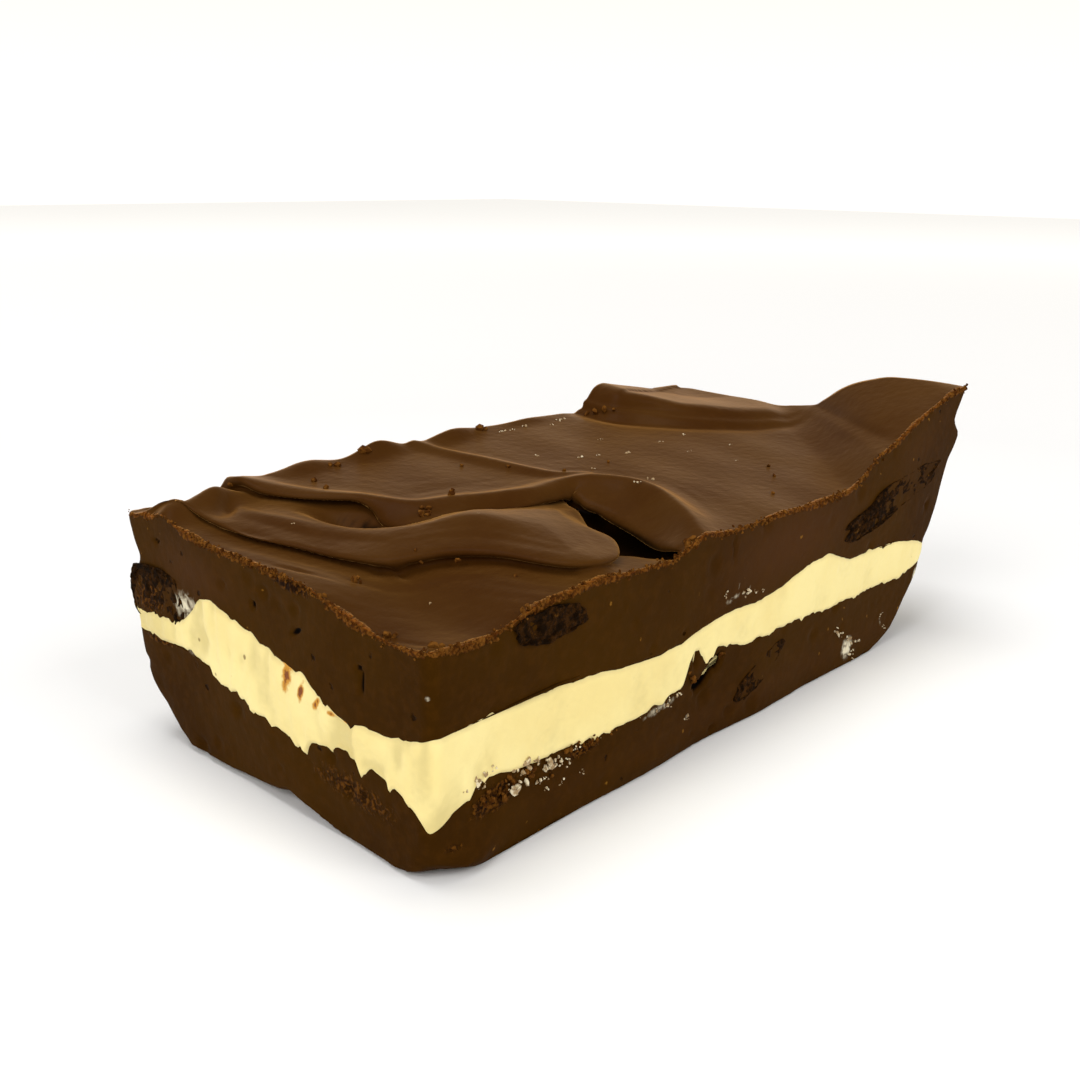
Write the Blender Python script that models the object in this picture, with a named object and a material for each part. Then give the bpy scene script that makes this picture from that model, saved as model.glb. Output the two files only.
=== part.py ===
"""A cut block of chocolate fudge in three layers, with a cream filling and pieces of chocolate cake.

The block is modelled in metres, +Z up. X runs along its long side and the cut long side faces -Y.
The shape functions work in millimetres, as the block was measured, and MM turns them into metres.
"""

import math

import bmesh
import bpy
import numpy as np
from mathutils import Matrix

MM = 0.001

# The block, in millimetres. Its middle in plan is the middle of its box.
LEFT_END = -56.0
NEAR_SIDE = -26.7
FAR_SIDE = 27.2
BOX_MIDDLE = (0.55, 1.4)
GAP = 0.3

# How finely the layers are made before they are thinned to the share that is kept.
TOP_GRID = (224, 108, 16)
TOP_KEPT = 0.052
LOWER_GRID = (96, 46, 10)
LOWER_KEPT = 0.105
CAKE_KEPT = 0.16
CAKE_ROOM = 0.4
MOST_AT_ONCE = 8000

# The folds end this far short of the cut faces.
FOLDS_END = 2.5
TOP_UNEVEN = 0.12

# Heights of the top surface along the block's edges, as (distance along the edge, height).
LEFT_RIM = [(-26.7, 25.2), (-22, 24.7), (-15, 25.7), (-9, 27.2), (-4, 27.8), (8, 27.9), (19, 29.0),
            (27, 29.5)]
NEAR_RIM = [(-56, 25.4), (-46, 24.9), (-40, 26.6), (-31, 27.0), (-22, 26.3), (-13, 25.6)]
PLATEAU_NEAR = 27.1
PLATEAU_FAR = 30.2
TONGUE_RISE = 1.3

# The spread top curls over in a wave. Its crest runs from the far left to the near cut side.
CREST = [(-43, 29), (-40.3, 23.5), (-38, 17.6), (-34.5, 10.4), (-30.7, 3.8), (-23.8, 1.5),
         (-14.7, -0.7), (-7.9, -0.1), (-1.8, -0.4), (1.5, -2.7), (2.0, -5.9), (-0.2, -11.3),
         (-3.9, -17.4), (-8.3, -23.1), (-12, -28)]
CREST_BACK = 4.6
CREST_FRONT = [(0, 4.6), (62, 4.6), (72, 6.5), (84, 8.0), (92, 6.0), (99, 2.6)]
CREST_UNDERCUT = 2.9
CREST_CURL = [(0, 0.0), (10, 0.15), (20, 0.6), (26, 0.9), (31, 0.6), (45, 0.7), (58, 0.95), (66, 0.6),
              (72, 0.0)]

# An overhanging step, from its foot across its edge: the share of its reach, and the share of its height.
CURL_SHIFT = [(-1, -1), (-0.5, 0.75), (-0.3, 1.0), (-0.12, 0.62), (0.04, 0.0), (0.16, -0.1),
              (0.36, 0.1), (1, 1)]
CURL_RISE = [(-1, 0), (-0.5, 0.03), (-0.3, 0.25), (-0.12, 0.52), (0.04, 0.72), (0.16, 0.95),
             (0.36, 1.05), (0.6, 1.04), (1, 1)]

# The hollow between the wave's face and the tongue: centre, half sizes, turn in degrees and depth.
HOLLOW = (-11.3, -15.0, 7.2, 3.0, 62, 3.2)

# Below the crest a second, lower fold runs round a rounded tongue.
TONGUE = [(-57, 26), (-52.6, 22), (-51.8, 14), (-51, 7), (-48.3, 0.5), (-45.4, -7.2), (-42, -9.4),
          (-38.4, -11.2), (-35, -15), (-33.4, -20), (-31.4, -23.6), (-28.2, -24.6), (-24.6, -23.8),
          (-21.6, -21.6), (-18.8, -18.4), (-15.5, -13.6), (-12, -8), (-9, -3)]
TONGUE_REACH = 3.0
TONGUE_UNDERCUT = 1.1
TONGUE_CURL = [(0, 0.3), (20, 0.5), (60, 0.6), (90, 0.2)]

# A thin pressed ridge that runs into the crest.
CREASE = [(-12, 31), (-10.2, 24), (-8.6, 17), (-6.8, 9), (-5, 3), (-2, 0)]
CREASE_HEIGHT = 0.55
CREASE_WIDTH = 1.3

# The raised lip at the right, above a foot line from the near side to the right end.
LIP_FOOT = [(24.5, -26.7), (56.0, 6.0)]
LIP_AT_NEAR = [(0, 0), (4.4, 3.4), (8.7, 5.0), (13, 6.5), (17.4, 8.2), (21, 10.0), (24, 10.6)]
LIP_AT_END = [(0, 0.6), (3.5, 2.4), (5.5, 4.0), (7.4, 6.0), (9.2, 7.8), (11.7, 9.4), (14, 10.5),
              (18.6, 11.2), (24, 10.8)]

# The far ridge: a thick roll above its own foot line, with a broken left end.
RIDGE_FOOT = [(26, 30), (24.6, 20), (28.2, 14.6), (31.6, 9.3), (36.5, 4.6), (42.4, 0.8), (50, -3),
              (62, -8)]
RIDGE_SIDE = [(-1, 0), (0.5, 0.4), (2.0, 1.6), (3.4, 1.7), (5.4, 3.5), (7.0, 3.8), (11, 3.0),
              (20, 1.2), (40, 0.6)]
RIDGE_FADE = [(0, 1.0), (12, 1.0), (18, 0.8), (26, 0.6), (34, 0.45), (46, 0.4)]

# Rolls and lumps of the top: (x, y, radius along x, radius along y, turn in degrees, height).
LUMPS = [(-46.5, 23.5, 5.6, 3.0, 20, 2.3), (-54.0, 21.8, 2.2, 3.0, -30, 1.9),
         (-55.5, 27, 2.4, 2.2, 0, 0.9), (-30, 26.5, 5, 2.4, 10, 0.9), (-17.5, 27, 5, 2.6, 0, 1.7),
         (-3, 26.6, 6, 2.4, 8, 1.3), (13, 26.8, 5, 2.0, 0, 0.5), (-29.0, -8, 8, 6, -35, 0.7),
         (-46, 12, 2.0, 9, 10, 0.5)]

# The cream's upper and lower faces where they show: along the near side, then along the left end.
CREAM_TOP_NEAR = [(-56, 16.1), (-48, 16.3), (-39, 15.8), (-34, 15.9), (-28, 15.4), (-21, 14.7),
                  (-15, 14.9), (-7, 16.2), (-2.7, 16.5), (1.9, 16.1), (5.4, 16.5), (13.9, 18.6),
                  (18.6, 18.9), (22.1, 17.6), (25.5, 16.6), (38.5, 16.4), (45.3, 15.2), (48, 14.2)]
CREAM_BASE_NEAR = [(-56, 5.7), (-53.9, 6.7), (-51.3, 8.2), (-49, 9.8), (-43, 8.8), (-34, 8.3),
                   (-21, 8.4), (-14, 9.0), (-11.5, 11.4), (-7.5, 12.0), (-3.3, 11.4), (3.7, 10.9),
                   (12.4, 11.0), (29, 10.3), (41, 10.2), (47, 11.2)]
CREAM_TOP_LEFT = [(-26.7, 16.1), (-22.6, 14.7), (-18.6, 14.3), (-12.4, 14.4), (-9.6, 15.7), (-7, 17.6),
                  (-2.5, 17.6), (1.2, 18.6), (6, 20.0), (10.9, 21.4), (13, 21.0), (14.5, 19.6),
                  (17.5, 17.0), (21.5, 16.7), (28.5, 16.2)]
CREAM_BASE_LEFT = [(-26.7, 5.7), (-25.2, 8.0), (-22.4, 9.6), (-18, 10.3), (-16, 10.0), (-14, 11.1),
                   (-10, 10.2), (-6, 8.9), (-1.8, 9.7), (3, 10.7), (6, 11.4), (10, 11.5), (13, 12.8),
                   (16.5, 13.8), (28.5, 14.0)]

# The walls, as (height, place): the pan's slope at the right end and the rounded far side.
RIGHT_WALL = [(0, 33.5), (0.8, 36.8), (2.0, 39.8), (3.3, 41.2), (5.1, 42.7), (7.2, 44.6), (10, 46.6),
              (13.8, 48.0), (14.8, 48.1), (16.6, 50), (19.6, 51.8), (26.5, 54.2), (28.6, 55.9),
              (30.4, 56.8), (32.6, 54.6), (34.2, 55.2), (37.6, 57.5)]
FAR_WALL = [(0, 19.0), (1, 20.8), (2.3, 22.7), (4.9, 25.0), (6.6, 26.9), (10, 27.9), (15, 28.3),
            (18.1, 29.8), (20.8, 29.5), (23, 28.5), (25, 29.6), (27.5, 29.8), (30, 28.8), (36, 28.4)]

# The far wall draws in by this much over this length from the left end.
FAR_TAPER = (1.8, 25)

# How far the left end's foot is lifted off the ground, along that end, and how deep the lift goes in.
LEFT_LIFT = [(-27, 2.3), (-25, 1.2), (-21.5, 0.1), (-9, 0.3), (-4.9, 1.3), (-2, 1.9), (0.4, 2.5),
             (3, 1.6), (7, 1.1), (15, 0.6), (18, 0.5)]
LEFT_LIFT_DEPTH = 4.5

# How uneven the four walls are.
LEFT_UNEVEN = 0.25
RIGHT_UNEVEN = 0.35
NEAR_UNEVEN = 0.18
FAR_UNEVEN = 0.4

# The upright corners' radii: where the block is full, and how much rounder they are at its foot.
NEAR_LEFT_ROUND = (0.8, 5.5)
FAR_LEFT_ROUND = (0.8, 2.0)
NEAR_RIGHT_ROUND = 0.4
FAR_RIGHT_ROUND = 3.0
FOOT_HEIGHT = 6.0

# Cake pieces: centre, half sizes and tilt in the plane of the face that they show on.
CAKES = {
    "near": {"layer": "fudge_top", "at": (-38.2, -26.7, 23.9), "half": (5.2, 3.6, 1.85), "tilt": 4},
    "right": {"layer": "fudge_top", "at": (36.6, -26.7, 23.4), "half": (13.4, 5.0, 2.3), "tilt": -13},
    "lower": {"layer": "fudge_bottom", "at": (3.0, -26.7, 6.1), "half": (5.6, 4.0, 1.6), "tilt": -26},
    "left": {"layer": "fudge_top", "at": (-56.0, 23.2, 18.9), "half": (5.0, 6.2, 3.7), "tilt": 0},
}

# A small hole under the cream on the near side.
HOLE = {"at": (-9.4, -26.7, 9.4), "half": (2.5, 3.6, 1.2), "tilt": -40}

FUDGE_COLOUR = (0.055, 0.017, 0.003)
CREAM_COLOUR = (0.91, 0.78, 0.37)
CAKE_COLOUR = (0.018, 0.006, 0.001)


def smooth(t):
    t = np.clip(t, 0.0, 1.0)
    return t * t * (3.0 - 2.0 * t)


def through(knots, t, soft=0.8):
    """The height of a line through the knots at t, with its corners rounded over the distance soft."""
    places, values = np.array(knots, float).T
    return sum(np.interp(t + step * soft, places, values) for step in (-1, -0.5, 0, 0.5, 1)) / 5


def ripple(x, y, wavelength, seed):
    """Smooth uneven waves of about this length, between about -1 and 1."""
    draw = np.random.default_rng(seed)
    total = 0.0
    for _ in range(6):
        angle, phase = draw.uniform(0, 2 * math.pi, 2)
        pace = 2 * math.pi / (wavelength * draw.uniform(0.7, 1.5))
        total = total + np.sin(pace * (x * math.cos(angle) + y * math.sin(angle)) + phase)
    return total / 3


def curve_through(points, spacing=0.6):
    """A smooth curve through the points, as places this far apart."""
    knots = np.array(points, float)
    ends = np.vstack([2 * knots[0] - knots[1], knots, 2 * knots[-1] - knots[-2]])
    places = []
    for a, b, c, d in zip(ends, ends[1:], ends[2:], ends[3:]):
        steps = max(2, int(np.hypot(*(c - b)) / spacing))
        for t in np.linspace(0, 1, steps, endpoint=False):
            bend = (2 * a - 5 * b + 4 * c - d) * t * t + (3 * b - a - 3 * c + d) * t ** 3
            places.append(b + 0.5 * ((c - a) * t + bend))
    return np.array(places + [knots[-1]])


def beside(x, y, curve):
    """How far each point lies to the left of the curve, how far along it, and the way that points left."""
    if len(x) > MOST_AT_ONCE:
        halves = [beside(*half, curve) for half in zip(np.array_split(x, 2), np.array_split(y, 2))]
        return tuple(np.concatenate(pair) for pair in zip(*halves))
    start = curve[:-1]
    step = np.diff(curve, axis=0)
    length = np.hypot(*step.T)
    run = np.concatenate([[0], np.cumsum(length)])
    dx = x[:, None] - start[:, 0]
    dy = y[:, None] - start[:, 1]
    part = np.clip((dx * step[:, 0] + dy * step[:, 1]) / length ** 2, 0, 1)
    away = np.hypot(dx - part * step[:, 0], dy - part * step[:, 1])
    nearest = away.argmin(axis=1)
    row = np.arange(len(x))
    way = step[nearest] / length[nearest, None]
    side = way[:, 0] * dy[row, nearest] - way[:, 1] * dx[row, nearest]
    along = run[nearest] + part[row, nearest] * length[nearest]
    return np.sign(side) * away[row, nearest], along, -way[:, 1], way[:, 0]


def curl(x, y, curve, back, front, undercut, strength, hollow_face):
    """A step up to the left of the curve, whose edge hangs over: the moved places and the share risen."""
    side, along, left_x, left_y = beside(x, y, curve)
    in_front = through(front, along, 2.0)
    across = np.clip(side / np.where(side > 0, back, in_front), -1, 1)
    amount = through(strength, along, 2.0)
    hang = through(CURL_SHIFT, across, 0.05)
    hang = np.where((hang > 0) & (across < 0.04), hang * undercut / back, hang)
    shift = (hang - across) * back * amount
    plain = np.minimum((1 + across) ** 2, 1) if hollow_face else smooth((across + 0.55) / 1.1)
    risen = plain + (through(CURL_RISE, across, 0.05) - plain) * amount
    return x + left_x * shift, y + left_y * shift, risen


def mound(x, y, at_x, at_y, long, wide, turn, height, steep=1):
    """A rounded mound with these half sizes. A steep one has a flat top and steeper sides."""
    c, s = math.cos(math.radians(turn)), math.sin(math.radians(turn))
    dx, dy = x - at_x, y - at_y
    reach = ((dx * c + dy * s) / long) ** 2 + ((dy * c - dx * s) / wide) ** 2
    return height * np.exp(-1.4 * reach ** steep)


def front_floor(x, y):
    """The lowest part of the top, along the left end and the near side."""
    inward = 1 - 0.75 * smooth((x - LEFT_END) / 18)
    return through(NEAR_RIM, x, 2.5) + (through(LEFT_RIM, y, 2.0) - LEFT_RIM[0][1]) * inward


def plateau(x, y):
    """The upper part of the top, which rises to the lip at the right and the ridge at the far side."""
    base = PLATEAU_NEAR + (PLATEAU_FAR - PLATEAU_NEAR) * (y - NEAR_SIDE) / (FAR_SIDE - NEAR_SIDE)
    (x0, y0), (x1, y1) = LIP_FOOT
    run = math.hypot(x1 - x0, y1 - y0)
    way_x, way_y = (x1 - x0) / run, (y1 - y0) / run
    past_foot = (x - x0) * way_y - (y - y0) * way_x
    along_foot = smooth(((x - x0) * way_x + (y - y0) * way_y) / run)
    at_near = through(LIP_AT_NEAR, past_foot, 1.2)
    lip = at_near + (through(LIP_AT_END, past_foot, 1.2) - at_near) * along_foot
    behind, along, _, _ = beside(x, y, curve_through(RIDGE_FOOT))
    ridge = through(RIDGE_SIDE, behind, 0.7) * through(RIDGE_FADE, along, 2)
    return base + lip + ridge * smooth((4 - past_foot) / 8)


def top_surface(x, y):
    """The top of the block over each place: where the folds carry it, and its height."""
    edge = np.minimum(y - NEAR_SIDE, x - LEFT_END)
    inside = smooth(edge / FOLDS_END)
    floor = front_floor(x, y)
    tongue_front = [(0, TONGUE_REACH)]
    tongue_x, tongue_y, on_tongue = curl(
        x, y, curve_through(TONGUE), TONGUE_REACH, tongue_front, TONGUE_UNDERCUT, TONGUE_CURL, False)
    crest_x, crest_y, on_plateau = curl(
        x, y, curve_through(CREST), CREST_BACK, CREST_FRONT, CREST_UNDERCUT, CREST_CURL, True)
    low = floor + TONGUE_RISE * on_tongue
    off_crease, _, _, _ = beside(x, y, curve_through(CREASE))
    crease = CREASE_HEIGHT * np.exp(-((off_crease / CREASE_WIDTH) ** 2))
    height = low + (plateau(x, y) + crease - low) * on_plateau
    height = height + sum(mound(x, y, *lump) for lump in LUMPS) + TOP_UNEVEN * ripple(x, y, 14, 5)
    height = height - mound(x, y, *HOLLOW, steep=2)
    moved_x = x + (tongue_x - x + crest_x - x) * inside
    moved_y = y + (tongue_y - y + crest_y - y) * inside
    return moved_x, moved_y, height


def from_faces(x, y, near, left):
    """A height between the layers: it follows each cut face's own line, and a mean of both further in."""
    from_near = 1 / (np.abs(y - NEAR_SIDE) + 0.4)
    from_left = 1 / (np.abs(x - LEFT_END) + 0.4)
    return (through(near, x) * from_near + through(left, y) * from_left) / (from_near + from_left)


def cream_top(x, y):
    return from_faces(x, y, CREAM_TOP_NEAR, CREAM_TOP_LEFT)


def cream_base(x, y):
    return from_faces(x, y, CREAM_BASE_NEAR, CREAM_BASE_LEFT)


def rounded_corner(x, y, wall_x, wall_y, radius):
    """Draws the points near an upright corner onto a round one. The walls lie at wall_x and wall_y."""
    in_x = np.sign(-wall_x)
    in_y = np.sign(-wall_y)
    dx = radius - (x - wall_x) * in_x
    dy = radius - (y - wall_y) * in_y
    at_corner = (dx > 0) & (dy > 0)
    reach = np.where(at_corner, np.maximum(dx, dy) / np.maximum(np.hypot(dx, dy), 1e-9), 1)
    x = np.where(at_corner, wall_x + in_x * (radius - dx * reach), x)
    y = np.where(at_corner, wall_y + in_y * (radius - dy * reach), y)
    return x, y


def outline(u, v, z):
    """The place in plan of a point that is the share u along and v across the block, at height z."""
    across = NEAR_SIDE + (FAR_SIDE - NEAR_SIDE) * v
    low = smooth(1 - z / FOOT_HEIGHT)
    lift = through(LEFT_LIFT, across, 0.6)
    lifted = LEFT_LIFT_DEPTH * smooth((lift - z) / (lift + 0.6))
    left = LEFT_END + lifted + LEFT_UNEVEN * ripple(across, z, 17, 2)
    right = through(RIGHT_WALL, z, 0.4) + RIGHT_UNEVEN * ripple(across, z, 15, 3) * v
    x = left + (right - left) * u
    near = NEAR_SIDE + NEAR_UNEVEN * ripple(x, z, 21, 4)
    taper, length = FAR_TAPER
    far = through(FAR_WALL, z, 0.5) + FAR_UNEVEN * ripple(x, z, 12, 6)
    far = far - taper * smooth((x - LEFT_END) / length)
    y = near + (far - near) * v
    x, y = rounded_corner(x, y, left, near, NEAR_LEFT_ROUND[0] + NEAR_LEFT_ROUND[1] * low)
    x, y = rounded_corner(x, y, left, far, FAR_LEFT_ROUND[0] + FAR_LEFT_ROUND[1] * low)
    x, y = rounded_corner(x, y, right, near, NEAR_RIGHT_ROUND)
    return rounded_corner(x, y, right, far, FAR_RIGHT_ROUND)


def settled(u, v, sheet):
    """The sheet's height over each share of the plan, where the walls' lean at that height is counted in."""
    z = np.full_like(u, 15.0)
    for _ in range(5):
        z = sheet(*outline(u, v, z))
    return z


def top_height(x, y):
    return top_surface(x, y)[2]


def layer_points(share, lower, upper):
    """Places of a layer's points from their shares along, across and up it."""
    u, v, w = share.T
    bottom = settled(u, v, lower)
    top = settled(u, v, upper)
    z = bottom + (top - bottom) * w
    x, y = outline(u, v, z)
    if upper is top_height:
        top_x, top_y = outline(u, v, top)
        moved_x, moved_y, _ = top_surface(top_x, top_y)
        near_top = smooth((w - 0.7) / 0.3)
        x = x + (moved_x - top_x) * near_top
        y = y + (moved_y - top_y) * near_top
    return np.stack([x - BOX_MIDDLE[0], y - BOX_MIDDLE[1], z], axis=1) * MM


def material(name, colour, roughness):
    made = bpy.data.materials.new(name)
    made.use_nodes = True
    shader = made.node_tree.nodes["Principled BSDF"]
    shader.inputs["Base Color"].default_value = (*colour, 1)
    shader.inputs["Roughness"].default_value = roughness
    shader.inputs["Metallic"].default_value = 0
    return made


def block_of_sheets(columns, rows, courses):
    """Two grids a unit apart, joined round their edges by walls of this many courses."""
    made = bmesh.new()
    bmesh.ops.create_grid(made, x_segments=columns, y_segments=rows, size=0.5)
    copied = bmesh.ops.duplicate(made, geom=made.verts[:] + made.edges[:] + made.faces[:])["geom"]
    lower_faces = [part for part in copied if isinstance(part, bmesh.types.BMFace)]
    lower_verts = [part for part in copied if isinstance(part, bmesh.types.BMVert)]
    bmesh.ops.translate(made, verts=lower_verts, vec=(0, 0, -1))
    bmesh.ops.reverse_faces(made, faces=lower_faces)
    rims = [edge for edge in made.edges if edge.is_boundary]
    walls = bmesh.ops.bridge_loops(made, edges=rims)["edges"]
    bmesh.ops.subdivide_edges(made, edges=walls, cuts=courses - 1, use_grid_fill=True)
    bmesh.ops.translate(made, verts=made.verts[:], vec=(0.5, 0.5, 1))
    return made


def add_object(name, mesh, collection, finish=None):
    made = bpy.data.objects.new(name, mesh)
    collection.objects.link(made)
    if finish:
        mesh.materials.append(finish)
    return made


def hide_helper(helper):
    helper.hide_render = True
    helper.display_type = "WIRE"
    return helper


def thinned(name, mesh, share):
    """The mesh with only this share of its faces, which keeps its form."""
    before = bpy.data.objects.new(name, mesh)
    bpy.context.scene.collection.objects.link(before)
    fewer = before.modifiers.new("fewer faces", "DECIMATE")
    fewer.ratio = share
    graph = bpy.context.evaluated_depsgraph_get()
    kept = bpy.data.meshes.new_from_object(before.evaluated_get(graph))
    kept.name = name
    bpy.data.objects.remove(before)
    return kept


def layer(name, grid, kept, lower, upper, collection, finish):
    made = block_of_sheets(*grid)
    mesh = bpy.data.meshes.new(name)
    made.to_mesh(mesh)
    made.free()
    shares = np.empty(len(mesh.vertices) * 3, np.float32)
    mesh.vertices.foreach_get("co", shares)
    points = layer_points(shares.reshape(-1, 3).astype(float), lower, upper)
    mesh.vertices.foreach_set("co", points.astype(np.float32).ravel())
    mesh.update()
    return add_object(name, thinned(name, mesh, kept), collection, finish)


def cake_lump(name, seed, plan):
    """An uneven lump of cake about its centre."""
    at, half = plan["at"], plan["half"]
    made = bmesh.new()
    bmesh.ops.create_icosphere(made, subdivisions=4, radius=1)
    for vert in made.verts:
        x, y, z = vert.co
        rough = 0.14 * ripple(x + z, y - z, 1.3, seed) + 0.03 * ripple(x - y, z, 0.4, seed + 1)
        square = max(abs(x), abs(y), abs(z)) ** -0.35
        vert.co = [part * size * square * (1 + rough) for part, size in zip(vert.co, half)]
    turn = Matrix.Rotation(math.radians(plan["tilt"]), 4, "Y")
    place = Matrix.Translation([(at[0] - BOX_MIDDLE[0]) * MM, (at[1] - BOX_MIDDLE[1]) * MM, at[2] * MM])
    bmesh.ops.transform(made, matrix=place @ Matrix.Scale(MM, 4) @ turn, verts=made.verts[:])
    mesh = bpy.data.meshes.new(name)
    made.to_mesh(mesh)
    made.free()
    return mesh


def cut(target, operation, other):
    boolean = target.modifiers.new(f"{operation.lower()} {other.name}", "BOOLEAN")
    boolean.operation = operation
    boolean.object = other
    boolean.solver = "EXACT"


def cake_chunk(name, seed, plan, layers, parts, cutters, finish):
    """A piece of cake flush with its layer's faces, and the pocket that it lies in."""
    whole = hide_helper(add_object(f"{name}_bounds", layers[plan["layer"]].data.copy(), cutters))
    lump = thinned(name, cake_lump(name, seed, plan), CAKE_KEPT)
    pocket = hide_helper(add_object(f"{name}_pocket", lump.copy(), cutters))
    room = pocket.modifiers.new("room round it", "DISPLACE")
    room.mid_level = 0
    room.strength = CAKE_ROOM * MM
    chunk = add_object(name, lump, parts, finish)
    cut(chunk, "INTERSECT", whole)
    cut(layers[plan["layer"]], "DIFFERENCE", pocket)


def main():
    for old in list(bpy.data.objects):
        bpy.data.objects.remove(old)
    parts = bpy.data.collections.new("chocolate_fudge")
    cutters = bpy.data.collections.new("cutters")
    for group in (parts, cutters):
        bpy.context.scene.collection.children.link(group)
    fudge = material("fudge", FUDGE_COLOUR, 0.45)
    cream = material("cream", CREAM_COLOUR, 0.6)
    cake = material("cake", CAKE_COLOUR, 0.9)
    half_gap = GAP / 2
    layers = {}
    layers["fudge_bottom"] = layer(
        "fudge_bottom", LOWER_GRID, LOWER_KEPT,
        lambda x, y: np.zeros_like(x), lambda x, y: cream_base(x, y) - half_gap, parts, fudge)
    layers["cream_filling"] = layer(
        "cream_filling", LOWER_GRID, LOWER_KEPT,
        lambda x, y: cream_base(x, y) + half_gap, lambda x, y: cream_top(x, y) - half_gap, parts, cream)
    layers["fudge_top"] = layer(
        "fudge_top", TOP_GRID, TOP_KEPT,
        lambda x, y: cream_top(x, y) + half_gap, top_height, parts, fudge)
    hollow = thinned("hole", cake_lump("hole", len(CAKES), HOLE), CAKE_KEPT)
    hole = hide_helper(add_object("hole_under_cream", hollow, cutters))
    cut(layers["fudge_bottom"], "DIFFERENCE", hole)
    for seed, (name, plan) in enumerate(CAKES.items()):
        cake_chunk(f"cake_chunk_{name}", seed, plan, layers, parts, cutters, cake)


main()
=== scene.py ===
"""A cut block of chocolate fudge with a cream filling and bits of cake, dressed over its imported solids.

The shapes are worked out in millimetres, in the block's own frame as it was measured: X runs along the long
side, the long cut side faces -Y and the short cut side faces -X. MM and BOX_MIDDLE bring them to the model.
"""

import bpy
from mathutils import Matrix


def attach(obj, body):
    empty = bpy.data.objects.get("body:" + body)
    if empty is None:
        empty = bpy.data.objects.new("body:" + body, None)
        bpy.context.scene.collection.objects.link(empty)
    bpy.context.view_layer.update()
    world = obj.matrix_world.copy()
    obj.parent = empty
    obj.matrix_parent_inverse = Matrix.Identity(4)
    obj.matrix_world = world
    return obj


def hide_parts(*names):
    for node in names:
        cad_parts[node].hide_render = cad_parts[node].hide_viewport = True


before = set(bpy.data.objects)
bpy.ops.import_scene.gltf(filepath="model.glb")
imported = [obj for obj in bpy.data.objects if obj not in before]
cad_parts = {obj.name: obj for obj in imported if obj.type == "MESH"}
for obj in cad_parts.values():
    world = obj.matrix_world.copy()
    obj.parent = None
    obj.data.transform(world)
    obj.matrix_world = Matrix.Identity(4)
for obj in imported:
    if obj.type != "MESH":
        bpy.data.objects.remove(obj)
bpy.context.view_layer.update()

import itertools
import math

import bmesh
import bpy
import numpy as np
from mathutils import Matrix, Vector
from mathutils.kdtree import KDTree


# The lower fudge layer. Dark chocolate fudge, poured warm into a lined pan, so its foot is round, and cut
# with a knife on its near and left sides once it had set. The knife dragged crumbs and cream over it.

MM = 0.001
LEFT_END = -56.0
NEAR_SIDE = -26.7
FAR_SIDE = 27.2
BOX_MIDDLE = (0.55, 1.4)

# The walls, as (height, place): the pan's slope at the right end and the rounded far side.
RIGHT_WALL = [(0, 33.5), (0.8, 36.8), (2.0, 39.8), (3.3, 41.2), (5.1, 42.7), (7.2, 44.6), (10, 46.6),
              (13.8, 48.0), (14.8, 48.1), (16.6, 50), (19.6, 51.8), (26.5, 54.2), (28.6, 55.9),
              (30.4, 56.8), (32.6, 54.6), (34.2, 55.2), (37.6, 57.5)]
FAR_WALL = [(0, 19.0), (1, 20.8), (2.3, 22.7), (4.9, 25.0), (6.6, 26.9), (10, 27.9), (15, 28.3),
            (18.1, 29.8), (20.8, 29.5), (23, 28.5), (25, 29.6), (27.5, 29.8), (30, 28.8), (36, 28.4)]
FAR_TAPER = (1.8, 25)

# How far the left end's foot is lifted off the ground, along that end, and how deep the lift goes in.
LEFT_LIFT = [(-27, 2.3), (-25, 1.2), (-21.5, 0.1), (-9, 0.3), (-4.9, 1.3), (-2, 1.9), (0.4, 2.5), (3, 1.6),
             (7, 1.1), (15, 0.6), (18, 0.5)]
LEFT_LIFT_DEPTH = 4.5

# How uneven the four walls are, and the upright corners' radii: where full, and what their foot adds.
LEFT_UNEVEN = 0.25
RIGHT_UNEVEN = 0.35
NEAR_UNEVEN = 0.18
FAR_UNEVEN = 0.4
NEAR_LEFT_ROUND = (1.5, 2.2)
FAR_LEFT_ROUND = (1.7, 0.8)
NEAR_RIGHT_ROUND = 0.4
FAR_RIGHT_ROUND = 3.0
FOOT_HEIGHT = 6.0

# The cream's lower face where it shows: along the near side, then along the left end.
CREAM_BASE_NEAR = [(-56, 5.7), (-53.9, 6.7), (-51.3, 8.2), (-49, 9.8), (-43, 8.8), (-34, 8.3), (-21, 8.4),
                   (-14.2, 8.8), (-13.5, 10.4), (-12.6, 13.2), (-11.4, 13.9), (-9.4, 13.2), (-6.8, 12.7),
                   (-4.8, 12.0), (-1.5, 11.1), (3.7, 11.1), (12.4, 11.0), (29, 10.3), (41, 10.2),
                   (47, 11.2)]
CREAM_BASE_LEFT = [(-26.7, 5.7), (-25.2, 8.0), (-22.4, 9.6), (-18, 10.3), (-16, 10.0), (-14, 11.1),
                   (-10, 10.2), (-6, 8.9), (-1.8, 9.7), (3, 10.7), (6, 11.4), (10, 11.5), (13, 12.8),
                   (16.5, 13.8), (28.5, 14.0)]

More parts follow.
